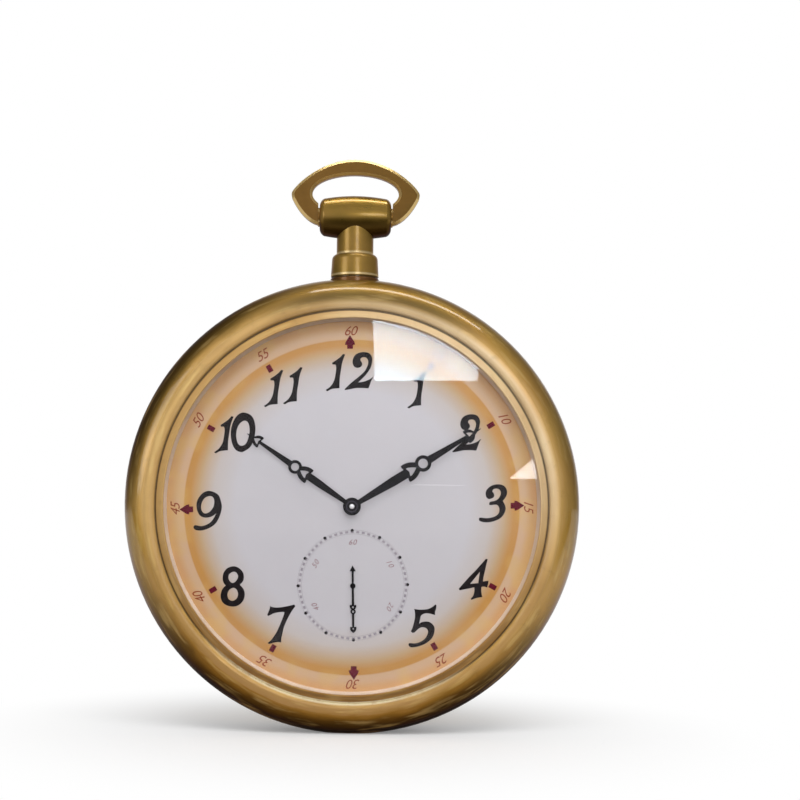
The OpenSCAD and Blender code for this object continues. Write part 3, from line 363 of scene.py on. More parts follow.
def gilt(name, light, mid, olive, dark, rough, coat=0.3, dirt=(), rings=(), bands=None, lip=None, lip_catchlight=None,
         shade=None, painted_glint=(), bevel_highlight=None):
    """Gold paint with cloudy colour, brush streaks, low dents and dirt in the joints.
    dirt holds the (height, width) of joints around the stem, and painted_glint those of shoulders given a
    painted highlight.
    rings holds the (radius, width) of joints round the dial, and lip_catchlight is that of the edge low down
    given a painted highlight.
    bands holds the colours by radius, low down and high up: painted shade, darker outwards and low down.
    lip holds the two radii between which the paint has filled the edge and shades flatter.
    shade is (height where the painted shade is darkest, height where it ends), and bevel_highlight is the
    colour of a painted highlight on bevels."""
    finish = GoldPaint(name)
    glaze = coat
    if bands:
        tone, glaze = finish.bronzed(bands, light, olive, dark, coat)
    else:
        tone = finish.ramp(finish.clouds, [(0.30, olive), (0.48, mid), (0.72, light)])
        tone = finish.blend(finish.spread(finish.brush, 0.35, 0.75, 0.0, 0.25), tone, light)
    # Painted shade on the underside of the crown.
    if shade:
        dim = finish.spread(finish.height, *shade, 0.85, 0.0)
        tone = finish.blend(dim, tone, dark)
        glaze = finish.spread(dim, 0.0, 0.7, coat, 0.0)
    # Painted highlights along the shoulders.
    for shoulder in painted_glint:
        painted_light = finish.times(finish.near(finish.height, *shoulder), 0.8)
        tone = finish.blend(painted_light, tone, paint(232, 208, 156))
    # A painted highlight on the bevels.
    if bevel_highlight:
        slope = finish.math("ABSOLUTE", finish.part(finish.facing, "Y"))
        bevel = finish.times(finish.spread(slope, 0.80, 0.96, 0.9, 0.0), finish.spread(slope, 0.30, 0.55))
        tone = finish.blend(bevel, tone, bevel_highlight)
    soil = finish.soil(dirt, rings)
    colour = finish.blend(soil, tone, dark)
    # A painted highlight on the edge low down, where light catches the lip.
    if lip_catchlight:
        painted_light = finish.times(finish.near(finish.radius, *lip_catchlight),
                              finish.spread(finish.upwards, -0.98, -0.70, 1.0, 0.0),
                              finish.spread(finish.noise(40.0), 0.35, 0.55, 0.65, 1.0))
        colour = finish.blend(painted_light, colour, paint(255, 246, 214))
    finish.surface(Specular_IOR_Level=0.2, Specular_Tint=(0.30, 0.20, 0.09, 1.0), Coat_Weight=glaze,
                   Coat_Roughness=0.14, Coat_IOR=1.7)
    if bands:
        finish.surface(Metallic=finish.spread(finish.radius, *METAL_SPAN, 0.2, 0.75),
                       Coat_Roughness=finish.spread(finish.radius, *COAT_SPAN, 0.34, 0.10))
    else:
        finish.surface(Metallic=0.75)
    polish = finish.chain("ADD", finish.spread(finish.clouds, 0.3, 0.7, rough - 0.05, rough + 0.06),
                          finish.times(finish.math("SUBTRACT", finish.brush, 0.5), 0.16),
                          finish.times(soil, 0.25))
    under = finish.flatter(finish.radius, *lip, finish.spread(finish.upwards, -0.9, -0.45)) if lip else None
    dents = finish.bump(finish.noise(5.5, detail=2.0), 0.30, 6 * MM, under)
    brushed = finish.bump(finish.brush, 0.16, 0.6 * MM, dents)
    return finish.done(colour, polish, finish.bump(finish.noise(240.0, detail=2.0), 0.10, 0.3 * MM, brushed))


def worked_metal(name, light, dark, rough):
    """Turned or ground metal inside the case."""
    finish = Finish(name)
    streaks = finish.streaks(300.0, 4.0, 60.0)
    mottle = finish.times(finish.math("ADD", streaks, finish.noise(14.0, detail=5.0)), 0.5)
    colour = finish.ramp(mottle, [(0.35, dark), (0.65, light)])
    polish = finish.spread(streaks, 0.3, 0.7, rough - 0.08, rough + 0.1)
    finish.surface(Metallic=1.0)
    return finish.done(colour, polish, finish.bump(streaks, 0.2, 0.2 * MM))


def moulded(name, light, dark, rough, metallic=0.0):
    """Moulded or sprayed parts with a fine orange-peel skin."""
    finish = Finish(name)
    colour = finish.ramp(finish.noise(9.0, detail=5.0), [(0.35, dark), (0.68, light)])
    polish = finish.spread(finish.noise(30.0), 0.3, 0.7, rough - 0.06, rough + 0.08)
    finish.surface(Metallic=metallic)
    return finish.done(colour, polish, finish.bump(finish.noise(420.0, detail=2.0), 0.25, 0.15 * MM))


def dial_print():
    """The printed dial: a lilac-grey middle, an orange band that fades inwards, and a peach edge band."""
    finish = Finish("dial_enamel")
    radius, _ = finish.around_dial(DIAL_UP - MARKS_LOW)
    part = finish.spread(radius, 0.0, DIAL_RADIUS, how="LINEAR")
    middle, warm_grey = paint(202, 198, 203), paint(198, 188, 184)
    sand, orange = paint(192, 160, 122), paint(192, 138, 68)
    peach, pink = paint(206, 158, 108), paint(206, 170, 136)
    edge = ORANGE_EDGE / DIAL_RADIUS
    tone = finish.ramp(part, [
        (0.0, middle), (0.62, middle), (0.74, warm_grey), (0.82, sand), (edge - 0.03, orange),
        (edge - 0.003, orange), (edge + 0.001, pink), (0.925, pink), (0.962, peach), (1.0, peach)])
    mottle = finish.spread(finish.noise(6.0, detail=3.0), 0.35, 0.7, 0.0, 0.05)
    tone = finish.blend(mottle, tone, paint(190, 180, 196))
    straw = finish.times(finish.spread(finish.noise(11.0, detail=2.0), 0.46, 0.68, 0.0, 0.38),
                         finish.spread(radius, *STRAW_SPAN))
    tone = finish.blend(straw, tone, paint(216, 178, 104))
    specks = finish.spread(finish.noise(700.0, detail=2.0), 0.60, 0.72, 0.0, 0.10)
    colour = finish.blend(specks, tone, paint(150, 130, 120))
    polish = finish.spread(finish.noise(40.0), 0.3, 0.7, 0.34, 0.48)
    finish.surface(Specular_IOR_Level=0.35)
    return finish.done(colour, polish, finish.bump(finish.noise(180.0), 0.12, 0.1 * MM))


def ink(name, full, thin):
    """Printing ink, a little thinner in places."""
    finish = Finish(name)
    colour = finish.ramp(finish.noise(60.0, detail=4.0), [(0.35, full), (0.75, thin)])
    polish = finish.spread(finish.noise(90.0), 0.3, 0.7, 0.42, 0.58)
    finish.surface(Specular_IOR_Level=0.12)
    return finish.done(colour, polish, finish.bump(finish.noise(500.0), 0.15, 0.05 * MM))


def clear_dome():
    """The blown acrylic dome, bloomed against glare, with a slow waviness and the faintest smears."""
    finish = Finish("clear_dome")
    smears = finish.noise(7.0, detail=4.0, distortion=1.2)
    colour = finish.ramp(smears, [(0.4, grey(1.0)), (0.8, (0.985, 0.99, 0.99, 1.0))])
    polish = finish.spread(smears, 0.45, 0.8, 0.0, 0.03)
    finish.surface(Transmission_Weight=1.0, IOR=1.24)
    front = min(point.co.y for point in NODES["crystal"].data.vertices)
    sphere_radius = (CRYSTAL_OPENING ** 2 + CRYSTAL_RISE ** 2) / (2 * CRYSTAL_RISE)
    domed = finish.dome_normal((0.0, front + sphere_radius, DIAL_UP))
    return finish.done(colour, polish, finish.bump(finish.noise(2.6, detail=1.0), 0.004, 1.0 * MM, domed))


def hand_lacquer():
    """Blue-black lacquer on the hands, rubbed brighter here and there."""
    finish = Finish("hand_lacquer")
    colour = finish.ramp(finish.noise(34.0, detail=5.0), [(0.4, paint(11, 8, 11)), (0.75, paint(26, 21, 27))])
    groove = finish.near(finish.around_dial()[0], *HUB_GROOVE)
    colour = finish.blend(finish.times(groove, 0.8), colour, paint(86, 82, 94))
    polish = finish.spread(finish.noise(70.0), 0.3, 0.7, 0.28, 0.44)
    finish.surface(Coat_Weight=0.05, Coat_Roughness=0.2, Specular_IOR_Level=0.12)
    turned = finish.bump(groove, 0.5, -0.8 * MM)
    return finish.done(colour, polish, finish.bump(finish.noise(260.0), 0.15, 0.1 * MM, turned))


def make_finishes():
    """The finish of each material slot. The golds' colours are light, mid, olive and dark."""
    # A dark brown for dirt in the joints, and also for painted shade on the crown's underside.
    soot_and_shade = paint(40, 24, 8)
    pale_gold = paint(232, 190, 120), paint(214, 170, 96), paint(206, 176, 96), soot_and_shade
    deep_gold = paint(166, 128, 62), paint(150, 118, 48), paint(134, 108, 38), soot_and_shade
    # The bead ring's darker gold is painted shade under the collar.
    bead_gold = paint(126, 82, 36), paint(108, 70, 26), paint(98, 66, 22), soot_and_shade
    bow_gold = paint(156, 114, 50), paint(136, 98, 37), paint(122, 92, 32), soot_and_shade
    # The case's and bezel's colours by radius, low down and high up: painted shade, darker outwards where the
    # rim turns away from the light and darker low down.
    case_foot = [(0.574, paint(226, 184, 106)), (0.583, paint(184, 142, 74)), (0.600, paint(172, 128, 58)),
                 (0.6135, paint(138, 98, 38)), (0.628, paint(92, 62, 21)), (0.644, paint(60, 39, 12)),
                 (0.668, paint(46, 28, 9))]
    case_top = [(0.574, paint(196, 156, 96)), (0.590, paint(212, 170, 104)), (0.604, paint(222, 180, 108)),
                (0.618, paint(204, 160, 80)), (0.634, paint(180, 140, 60)), (0.668, paint(144, 114, 44))]
    bezel_foot = [(0.545, paint(172, 128, 66)), (0.556, paint(154, 112, 50)), (0.572, paint(168, 124, 62))]
    bezel_top = [(0.545, paint(208, 168, 108)), (0.556, paint(208, 168, 106)), (0.572, paint(200, 160, 98))]
    return {
        "case_gold": gilt("case_paint", *pale_gold, 0.40, coat=0.8, dirt=((0.0, 0.05),),
                          rings=((0.5720, 0.0090),), bands=(case_foot, case_top), lip=(0.5745, 0.600),
                          lip_catchlight=(0.5750, 0.012)),
        "bezel_gold": gilt("bezel_paint", *pale_gold, 0.40, coat=0.4, rings=((0.5712, 0.0085),),
                           bands=(bezel_foot, bezel_top), lip_catchlight=(0.5705, 0.008)),
        "stem_gold": gilt("stem_paint", *deep_gold, 0.34, dirt=((1.3430, 0.008),),
                          painted_glint=((1.4150, 0.014), (1.3510, 0.010))),
        "crown_gold": gilt("crown_paint", *deep_gold, 0.32, shade=(1.494, 1.524)),
        "bead_gold": gilt("bead_paint", *bead_gold, 0.36),
        "bow_gold": gilt("bow_paint", *bow_gold, 0.34, bevel_highlight=paint(222, 190, 124)),
        "ballast": moulded("cast_iron", paint(92, 90, 88), paint(58, 52, 50), 0.6),
        "gasket": moulded("black_rubber", paint(40, 40, 42), paint(24, 24, 26), 0.7),
        "crystal": clear_dome(),
        "reflector": moulded("reflector_paint", paint(224, 206, 190), paint(208, 188, 170), 0.35),
        "dial": dial_print(),
        "frame": moulded("frame_enamel", paint(104, 106, 112), paint(80, 82, 88), 0.45),
        "steel": worked_metal("zinc_steel", paint(196, 198, 204), paint(142, 144, 152), 0.32),
        "brass": worked_metal("clock_brass", paint(224, 190, 116), paint(180, 142, 72), 0.28),
        "bronze": worked_metal("bush_bronze", paint(196, 142, 92), paint(150, 100, 60), 0.34),
        "motor": worked_metal("motor_can", paint(168, 170, 176), paint(110, 112, 118), 0.4),
        "black_plastic": moulded("black_moulding", paint(44, 44, 48), paint(28, 28, 30), 0.5),
        "hand_black": hand_lacquer(),
        "bright_nut": moulded("bright_nut", paint(250, 250, 252), paint(232, 232, 236), 0.16, metallic=0.3),
    }


# These pieces share a slot in the record, but each has its own tone of the gold; the bead ring's darker tone
# is painted shade.
PENDANT_FINISHES = {"bead_ring": "bead_gold", "stem_collar": "stem_gold", "stem_neck": "stem_gold",
                    "crown_barrel": "crown_gold", "bow": "bow_gold", "bow_washers": "bow_gold"}


def dress_nodes(finishes):
    """Gives each CAD piece the finish of its material slot."""
    for name, piece in NODES.items():
        slot = PENDANT_FINISHES.get(name, piece.data.materials[0].name.split(".")[0])
        piece.data.materials.clear()
        piece.data.materials.append(finishes[slot])
    NODES["crystal"].visible_shadow = False
    NODES["crystal"].visible_diffuse = False


# ---------------------------------------------------------------- prints on the dial

def plain_mesh(holder):
    """The plain mesh that an object's curve, text or modifier makes. The object itself goes."""
    bpy.context.view_layer.update()
    graph = bpy.context.evaluated_depsgraph_get()
    mesh = bpy.data.meshes.new_from_object(holder.evaluated_get(graph))
    holder.modifiers.clear()
    bpy.data.objects.remove(holder)
    return mesh


def flat_outline(name, loops, fuller=0.0):
    """A flat print from closed outlines (metres, the inner ones are holes), as a closed mesh lying on XY.
    fuller is how far the outlines are moved outwards."""
    curve = bpy.data.curves.new(name, "CURVE")
    curve.dimensions = "2D"
    curve.fill_mode = "BOTH"
    curve.extrude = PRINT_DEEP / 2
    curve.offset = fuller
    for loop in loops:
        line = curve.splines.new("POLY")
        line.points.add(len(loop) - 1)
        for point, (x, y) in zip(line.points, loop):
            point.co = (x, y, 0, 1)
        line.use_cyclic_u = True
    return plain_mesh(placed(name, curve))


def on_dial(turn=0.0, up=0.0):
    """Takes a shape from XY to the dial's face, turned about the dial's centre or a place above it."""
    middle = Matrix.Translation((0, DIAL_FACE + (PRINT_SUNK - PRINT_PROUD) / 2, DIAL_UP))
    upright = Matrix.Rotation(math.radians(90), 4, "X")
    return middle @ upright @ Matrix.Translation((0, up, 0)) @ Matrix.Rotation(turn, 4, "Z")


def on_small_dial():
    """Takes a shape from XY to the middle of the small dial, in line with the dial's print."""
    return on_dial(DIAL_TURN) @ Matrix.Translation((0, -SMALL_DIAL_DROP, 0))


def one_piece(name, meshes, finish, body="case"):
    """Joins meshes into one closed piece that rides on a body."""
    joined = bmesh.new()
    for mesh in meshes:
        joined.from_mesh(mesh)
    bmesh.ops.remove_doubles(joined, verts=joined.verts, dist=1e-6)
    bmesh.ops.recalc_face_normals(joined, faces=joined.faces)
    data = bpy.data.meshes.new(name)
    joined.to_mesh(data)
    joined.free()
    data.materials.append(finish)
    piece = placed(name, data)
    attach(piece, body)


def between(before, here, after, beyond, t):
    """A point at share t of a smooth line from here to after, which keeps the bend of the points around."""
    return 0.5 * (2 * here + (after - before) * t + (2 * before - 5 * here + 4 * after - beyond) * t * t
                  + (3 * here - before - 3 * after + beyond) * t ** 3)


def smoothed(points, steps=3):
    """A closed outline in millimetres, rounded between its points except at the sharp corners."""
    out = []
    for i in range(len(points)):
        before, here, after, beyond = (points[(i + k) % len(points)] for k in (-1, 0, 1, 2))
        start = here if len(here) > 2 else before
        end = after if len(after) > 2 else beyond
        for step in range(steps):
            out.append(tuple(between(*run, step / steps) * MM
                             for run in zip(start[:2], here[:2], after[:2], end[:2])))
    return out


# The hour figures: outlines in millimetres from each figure's lower left corner. A third value marks a
# sharp corner.
FIGURES = {
    "1": [[(53, 105, 1), (48, 92), (44, 78), (41, 58), (38, 39), (37, 21), (37, 9, 1), (26, 8), (14, 6),
          (3, 0, 1), (0, 2, 1), (11, 10), (19, 20), (25, 33), (28, 48), (30, 64), (29, 75, 1), (27, 78, 1),
          (19, 78, 1), (18, 81, 1), (29, 88), (41, 97), (49, 106, 1)]],
    "2": [[(1, 0, 1), (18, 3), (34, 6), (54, 6), (69, 5, 1), (73, 16), (78, 29), (83, 37, 1), (81, 37, 1),
          (75, 32), (65, 27), (52, 23), (38, 22, 1), (49, 32), (60, 43), (69, 55), (76, 67), (79, 80),
          (80, 91), (77, 100), (71, 107), (61, 110), (50, 110), (39, 107), (30, 101), (25, 92), (23, 82),
          (25, 73), (30, 67), (37, 65), (45, 67), (50, 73), (50, 79), (47, 84, 1), (45, 88), (48, 94),
          (55, 96), (62, 95), (67, 90), (69, 83), (68, 74), (64, 64), (58, 54), (48, 44), (36, 34),
          (23, 24), (11, 13), (0, 2, 1)]],
    "3": [[(2, 4), (14, 0), (30, 0), (46, 4), (61, 11), (72, 23), (77, 36), (76, 48), (69, 62, 1),
          (78, 74), (82, 87), (79, 98), (72, 106), (59, 110), (46, 109), (35, 105), (25, 97), (20, 88),
          (20, 80), (22, 73), (28, 68), (35, 69), (42, 73), (44, 80), (42, 85), (38, 89, 1), (41, 95),
          (46, 98), (55, 98), (61, 94), (64, 87), (63, 79), (59, 71), (53, 65), (43, 61), (33, 59),
          (30, 54), (32, 50), (42, 51), (52, 51), (58, 45), (60, 37), (59, 29), (55, 22), (46, 16),
          (37, 13), (24, 11), (11, 12), (3, 13), (0, 9)]],
    "4": [[(84, 118, 1), (80, 103), (76, 85), (72, 68), (70, 53, 1), (86, 55, 1), (85, 46), (82, 36, 1),
          (74, 39), (66, 38, 1), (65, 30), (66, 18), (68, 8, 1), (59, 7), (47, 4), (37, 0, 1), (35, 3, 1),
          (42, 11), (45, 21), (46, 30), (45, 37, 1), (33, 34), (17, 31), (3, 28, 1), (0, 32, 1), (17, 51),
          (33, 69), (50, 86), (66, 104), (79, 119, 1)],
          [(62, 83, 1), (57, 48, 1), (32, 46, 1)]],
    "5": [[(81, 123, 1), (80, 113), (77, 103), (77, 94, 1), (67, 97), (57, 99), (45, 98), (36, 92),
          (33, 81), (30, 67, 1), (38, 72), (48, 74), (60, 73), (70, 66), (75, 57), (75, 45), (71, 32),
          (63, 21), (50, 11), (34, 4), (18, 0), (6, 0), (0, 6), (3, 11), (17, 10), (30, 13), (42, 19),
          (51, 28), (56, 38), (57, 48), (52, 55), (45, 58), (37, 58), (29, 54), (22, 48), (17, 43, 1),
          (11, 42, 1), (7, 46, 1), (12, 57), (16, 72), (19, 87), (19, 100), (17, 111, 1), (29, 109),
          (45, 109), (58, 111), (70, 117), (78, 124, 1)]],
    "7": [[(8, 110, 1), (16, 107), (31, 106), (47, 108), (63, 111), (78, 115, 1), (81, 110, 1), (73, 100),
          (63, 83), (54, 65), (47, 47), (43, 29), (40, 16), (40, 5, 1), (30, 6), (18, 4), (5, 0, 1),
          (1, 3, 1), (10, 10), (19, 22), (28, 36), (36, 54), (43, 71), (48, 84), (50, 93, 1), (43, 94),
          (31, 93), (18, 90), (8, 85), (2, 82, 1), (0, 86, 1), (4, 95), (7, 103)]],
    "8": [[(37, 117), (51, 113), (63, 102), (67, 89), (65, 75), (55, 63, 1), (63, 55), (69, 43), (69, 28),
          (63, 14), (50, 3), (35, 0), (19, 3), (6, 12), (0, 27), (2, 43), (7, 53), (15, 61, 1), (8, 71),
          (6, 84), (9, 99), (20, 112)],
          [(37, 102), (24, 94), (23, 79), (33, 68), (44, 73), (51, 86), (47, 98)],
          [(37, 55), (25, 49), (19, 35), (23, 21), (34, 16), (46, 22), (51, 36), (47, 49)]],
    "9": [[(47, 115), (61, 111), (73, 102), (79, 87), (82, 71), (80, 55), (74, 38), (65, 22), (52, 11),
          (35, 3), (19, 0), (6, 2), (0, 8), (4, 15), (22, 12), (37, 16), (50, 24), (60, 37), (67, 52, 1),
          (58, 44), (46, 39), (33, 38), (21, 42), (13, 53), (9, 68), (10, 84), (17, 98), (27, 109),
          (38, 114)],
          [(46, 101), (31, 94), (22, 76), (23, 58), (33, 49), (47, 54), (58, 69), (61, 87), (56, 98)]],
    "0": [[(40, 115), (56, 109), (66, 96), (71, 75), (70, 54), (65, 32), (55, 14), (39, 3), (30, 0),
          (15, 6), (5, 22), (0, 46), (1, 69), (8, 91), (18, 106), (30, 114)],
          [(38, 92), (25, 83), (17, 66), (15, 45), (20, 25), (30, 18), (43, 23), (51, 40), (55, 61),
          (53, 80), (47, 90)]],
}

# Each hour figure's lower left corner, in millimetres right and up of the dial's centre.
FIGURE_PLACES = [
    ("1", -74.6, 338.3), ("2", -20.8, 340.7), ("1", 164.0, 288.0), ("2", 294.1, 158.8),
    ("3", 371.6, -45.6), ("4", 312.6, -272.5), ("5", 165.8, -410.8), ("7", -246.8, -401.8),
    ("8", -383.3, -292.1), ("9", -462.6, -69.9), ("1", -400.6, 156.7), ("0", -353.5, 159.1),
    ("1", -255.3, 291.8), ("1", -199.1, 300.0),
]


def hour_figures(finish):
    """The large figures. The camera sees their places upright, so they are turned by its roll."""
    meshes = []
    upright = on_dial() @ Matrix.Rotation(CAMERA_ROLL, 4, "Z")
    for figure, right, up in FIGURE_PLACES:
        fuller = ONE_FULLER if figure == "1" else STROKES_FULLER
        mesh = flat_outline("figure", [smoothed(loop) for loop in FIGURES[figure]], fuller)
        mesh.transform(upright @ Matrix.Translation((right * MM, up * MM, 0)))
        meshes.append(mesh)
    one_piece("hour_figures", meshes, finish)


def ring_figures(name, finish, numbers, middle, radius, height, slant, apart):
    """Slanted figures round a ring, as (words, degrees clockwise from the top)."""
    meshes = []
    for words, degrees in numbers:
        text = bpy.data.curves.new("figures", "FONT")
        text.body = words
        text.size = height / FONT_SHARE
        text.shear = slant
        text.align_x, text.align_y = "CENTER", "CENTER"
        text.space_character = apart
        text.extrude = PRINT_DEEP / 2
        text.resolution_u = 4
        mesh = plain_mesh(placed("figures", text))
        turn = Matrix.Rotation(-math.radians(degrees), 4, "Z")
        mesh.transform(middle @ turn @ Matrix.Translation((0, radius, 0)))
        meshes.append(mesh)
    one_piece(name, meshes, finish)


def minute_figures(finish):
    numbers = [("%02d" % minute, minute * 6) for minute in range(5, 65, 5)]
    middle = on_dial(DIAL_TURN, -MARKS_LOW)
    ring_figures("minute_figures", finish, numbers, middle, MINUTE_FIGURES_AT, height=27.5 * MM, slant=0.35,
                 apart=0.92)


def small_dial_figures(finish):
    numbers = [(str(second), second * 6) for second in (10, 20, 40, 50, 60)]
    ring_figures("small_dial_figures", finish, numbers, on_small_dial(), SMALL_FIGURES_AT,
                 height=15.5 * MM, slant=0.3, apart=1.12)


# ---------------------------------------------------------------- marks that repeat round a ring

def new_tree(name, result, *inputs):
    """A geometry tree with named inputs, each as (name, kind, start value, least value)."""
    tree = bpy.data.node_groups.new(name, "GeometryNodeTree")
    tree.is_modifier = True
    for label, kind, *values in inputs:
        made = tree.interface.new_socket(label, in_out="INPUT", socket_type="NodeSocket" + kind)
        for key, value in zip(("default_value", "min_value"), values):
            setattr(made, key, value)
    tree.interface.new_socket(result, in_out="OUTPUT", socket_type="NodeSocketGeometry")
    nodes = Nodes(tree)
    return nodes, nodes.add("NodeGroupInput").outputs


def end_tree(nodes, shape, colour):
    """Makes the copies real and gives them their ink, as the tree's result."""
    solid = nodes.add("GeometryNodeRealizeInstances")
    nodes.put(solid.inputs[0], shape)
    inked = nodes.give(nodes.add("GeometryNodeSetMaterial"), Geometry=solid.outputs[0], Material=colour)
    nodes.put(nodes.add("NodeGroupOutput").inputs[0], inked.outputs[0])
    return nodes.tree


def ring_tree():
    """Geometry nodes: copies of a mark round a ring, with every so-manieth place left empty."""
    nodes, given = new_tree("marks_round_a_ring", "Marks", ("Mark", "Geometry"), ("Places", "Int", 12, 1),
                            ("Left Empty", "Int", NONE_EMPTY, 1), ("Radius", "Float", 0.1),
                            ("Ink", "Material"))
    index = nodes.add("GeometryNodeInputIndex").outputs[0]
    angle = nodes.times(index, nodes.math("DIVIDE", -2 * math.pi, given["Places"]))
    place = nodes.give(nodes.add("ShaderNodeVectorRotate", rotation_type="Z_AXIS"),
                       Vector=nodes.combine(y=given["Radius"]), Angle=angle)
    points = nodes.give(nodes.add("GeometryNodePoints"), Count=given["Places"], Position=place.outputs[0])
    kept = nodes.add("FunctionNodeCompare", data_type="FLOAT", operation="GREATER_THAN")
    nodes.put(kept.inputs[0], nodes.math("MODULO", index, given["Left Empty"]))
    nodes.put(kept.inputs[1], 0.5)
    every = nodes.add("FunctionNodeCompare", data_type="INT", operation="GREATER_EQUAL")
    nodes.put(every.inputs[2], given["Left Empty"])
    nodes.put(every.inputs[3], NONE_EMPTY)
    chosen = nodes.add("FunctionNodeBooleanMath", operation="OR")
    nodes.put(chosen.inputs[0], kept.outputs[0])
    nodes.put(chosen.inputs[1], every.outputs[0])
    copies = nodes.give(nodes.add("GeometryNodeInstanceOnPoints"), Points=points.outputs[0],
                        Selection=chosen.outputs[0], Instance=given["Mark"], Rotation=nodes.combine(z=angle))
    return end_tree(nodes, copies.outputs[0], given["Ink"])


def band_tree():
    """Geometry nodes: a thin flat ring as a closed band."""
    nodes, given = new_tree("printed_ring", "Ring", ("Start", "Geometry"), ("Radius", "Float", 0.1),
                            ("Line Width", "Float", TRACK_LINE_WIDTH), ("Thickness", "Float", PRINT_DEEP),
                            ("Sides", "Int", 120, 3), ("Ink", "Material"))
    path = nodes.give(nodes.add("GeometryNodeCurvePrimitiveCircle"), Radius=given["Radius"],
                      Resolution=given["Sides"])
    section = nodes.give(nodes.add("GeometryNodeCurvePrimitiveQuadrilateral"), Width=given["Line Width"],
                         Height=given["Thickness"])
    swept = nodes.give(nodes.add("GeometryNodeCurveToMesh"), Curve=path.outputs[0],
                       Profile_Curve=section.outputs[0])
    return end_tree(nodes, swept.outputs[0], given["Ink"])


def run_tree(tree, shape, **values):
    """Runs a tree on a shape and gives the result back as a plain mesh."""
    holder = placed("holder", shape)
    maker = holder.modifiers.new("maker", "NODES")
    maker.node_group = tree
    identifiers = {item.name: item.identifier for item in tree.interface.items_tree if item.in_out == "INPUT"}
    for key, value in values.items():
        maker[identifiers[key.replace("_", " ")]] = value
    return plain_mesh(holder)


def mark(points):
    """A printed mark from its outline in millimetres."""
    return flat_outline("mark", [[(x * MM, y * MM) for x, y in points]])


def round_mark(radius):
    """A printed dot, its radius in metres."""
    turns = [2 * math.pi * i / DOT_SIDES for i in range(DOT_SIDES)]
    return flat_outline("mark", [[(radius * math.cos(turn), radius * math.sin(turn)) for turn in turns]])


def dial_marks(red, black, pale):
    """The five-minute blocks and quarter arrows, and the small dial's dots and track."""
    rings, bands = ring_tree(), band_tree()
    block = mark([(-7.3, -11), (7.3, -11), (7.3, 11), (-7.3, 11)])
    arrow = mark([(-8.5, -19), (8.5, -19), (8.5, -8), (15, -7), (13, 1), (0, 21), (-13, 1), (-15, -7),
                  (-8.5, -8)])
    tick = mark([(-4.4, -3.4), (4.4, -3.4), (4.4, 3.4), (-4.4, 3.4)])
    main, small = on_dial(DIAL_TURN, -MARKS_LOW), on_small_dial()
    blocks = run_tree(rings, block, Places=12, Left_Empty=3, Radius=BLOCKS_AT, Ink=red)
    arrows = run_tree(rings, arrow, Places=4, Radius=ARROWS_AT, Ink=red)
    dots = run_tree(rings, round_mark(DOT_RADIUS), Places=12, Radius=DOTS_AT, Ink=black)
    ticks = run_tree(rings, tick, Places=60, Radius=TICKS_AT, Ink=pale)
    start = bpy.data.meshes.new("start")
    lines = [run_tree(bands, start, Radius=radius, Ink=pale) for radius in TRACK_LINES_AT]
    for place, meshes in ((main, [blocks, arrows]), (small, [dots, ticks] + lines)):
        for mesh in meshes:
            mesh.transform(place)
    one_piece("five_minute_blocks", [blocks], red)
    one_piece("quarter_arrows", [arrows], red)
    one_piece("small_dial_dots", [dots], black)
    one_piece("small_dial_track", [ticks] + lines, pale)


# ---------------------------------------------------------------- floor, light and background

def lamp(name, place, target, size, power, colour=(1.0, 1.0, 1.0)):
    """A lamp at a place, pointed at a target. Its size is (width, height) and its power is in watts."""
    light = bpy.data.lights.new(name, "AREA")
    light.shape = "RECTANGLE"
    light.size, light.size_y = size
    light.energy = power
    light.color = colour
    holder = placed(name, light)
    way = Vector(target) - Vector(place)
    holder.matrix_world = Matrix.Translation(place) @ way.to_track_quat("-Z", "Y").to_matrix().to_4x4()
    return holder


def group_of(name, pieces):
    group = bpy.data.collections.new(name)
    for piece in pieces:
        group.objects.link(piece)
    return group


def light_only(holder, pieces):
    """Keeps a lamp's light to some pieces, as flags and screens do in a studio."""
    holder.light_linking.receiver_collection = group_of(holder.name + "_falls_on", pieces)


def shaded_only(holder, pieces):
    """Lets only some pieces shade a lamp, so that the thin hands leave no hard shadow on the dial."""
    holder.light_linking.blocker_collection = group_of(holder.name + "_shaded_by", pieces)


def lamp_nodes(light):
    """The lamp's nodes, the place on its face and the sockets of its light."""
    light.use_nodes = True
    nodes = Nodes(light.node_tree)
    return nodes, nodes.add("ShaderNodeNewGeometry").outputs["Parametric"], nodes.tree.nodes["Emission"]


def panes(light):
    """Rows of small bright panes across a lamp, as in a ceiling light's grid."""
    nodes, spot, shine = lamp_nodes(light)
    grid = nodes.add("ShaderNodeTexBrick")
    nodes.give(grid, Vector=spot, Color1=grey(1.0), Color2=(0.86, 0.88, 0.92, 1.0),
               Mortar=(0.40, 0.40, 0.44, 1.0), Scale=1.0, Mortar_Size=0.016, Mortar_Smooth=0.6,
               Brick_Width=0.06, Row_Height=0.075)
    nodes.give(shine, Color=grid.outputs["Color"])


def wedge(light):
    """Lets only one corner of a lamp shine, cut off aslant."""
    nodes, spot, shine = lamp_nodes(light)
    aslant = nodes.math("SUBTRACT", nodes.part(spot, "X"), nodes.part(spot, "Y"))
    nodes.give(shine, Strength=nodes.spread(aslant, -0.03, 0.03, how="LINEAR"))


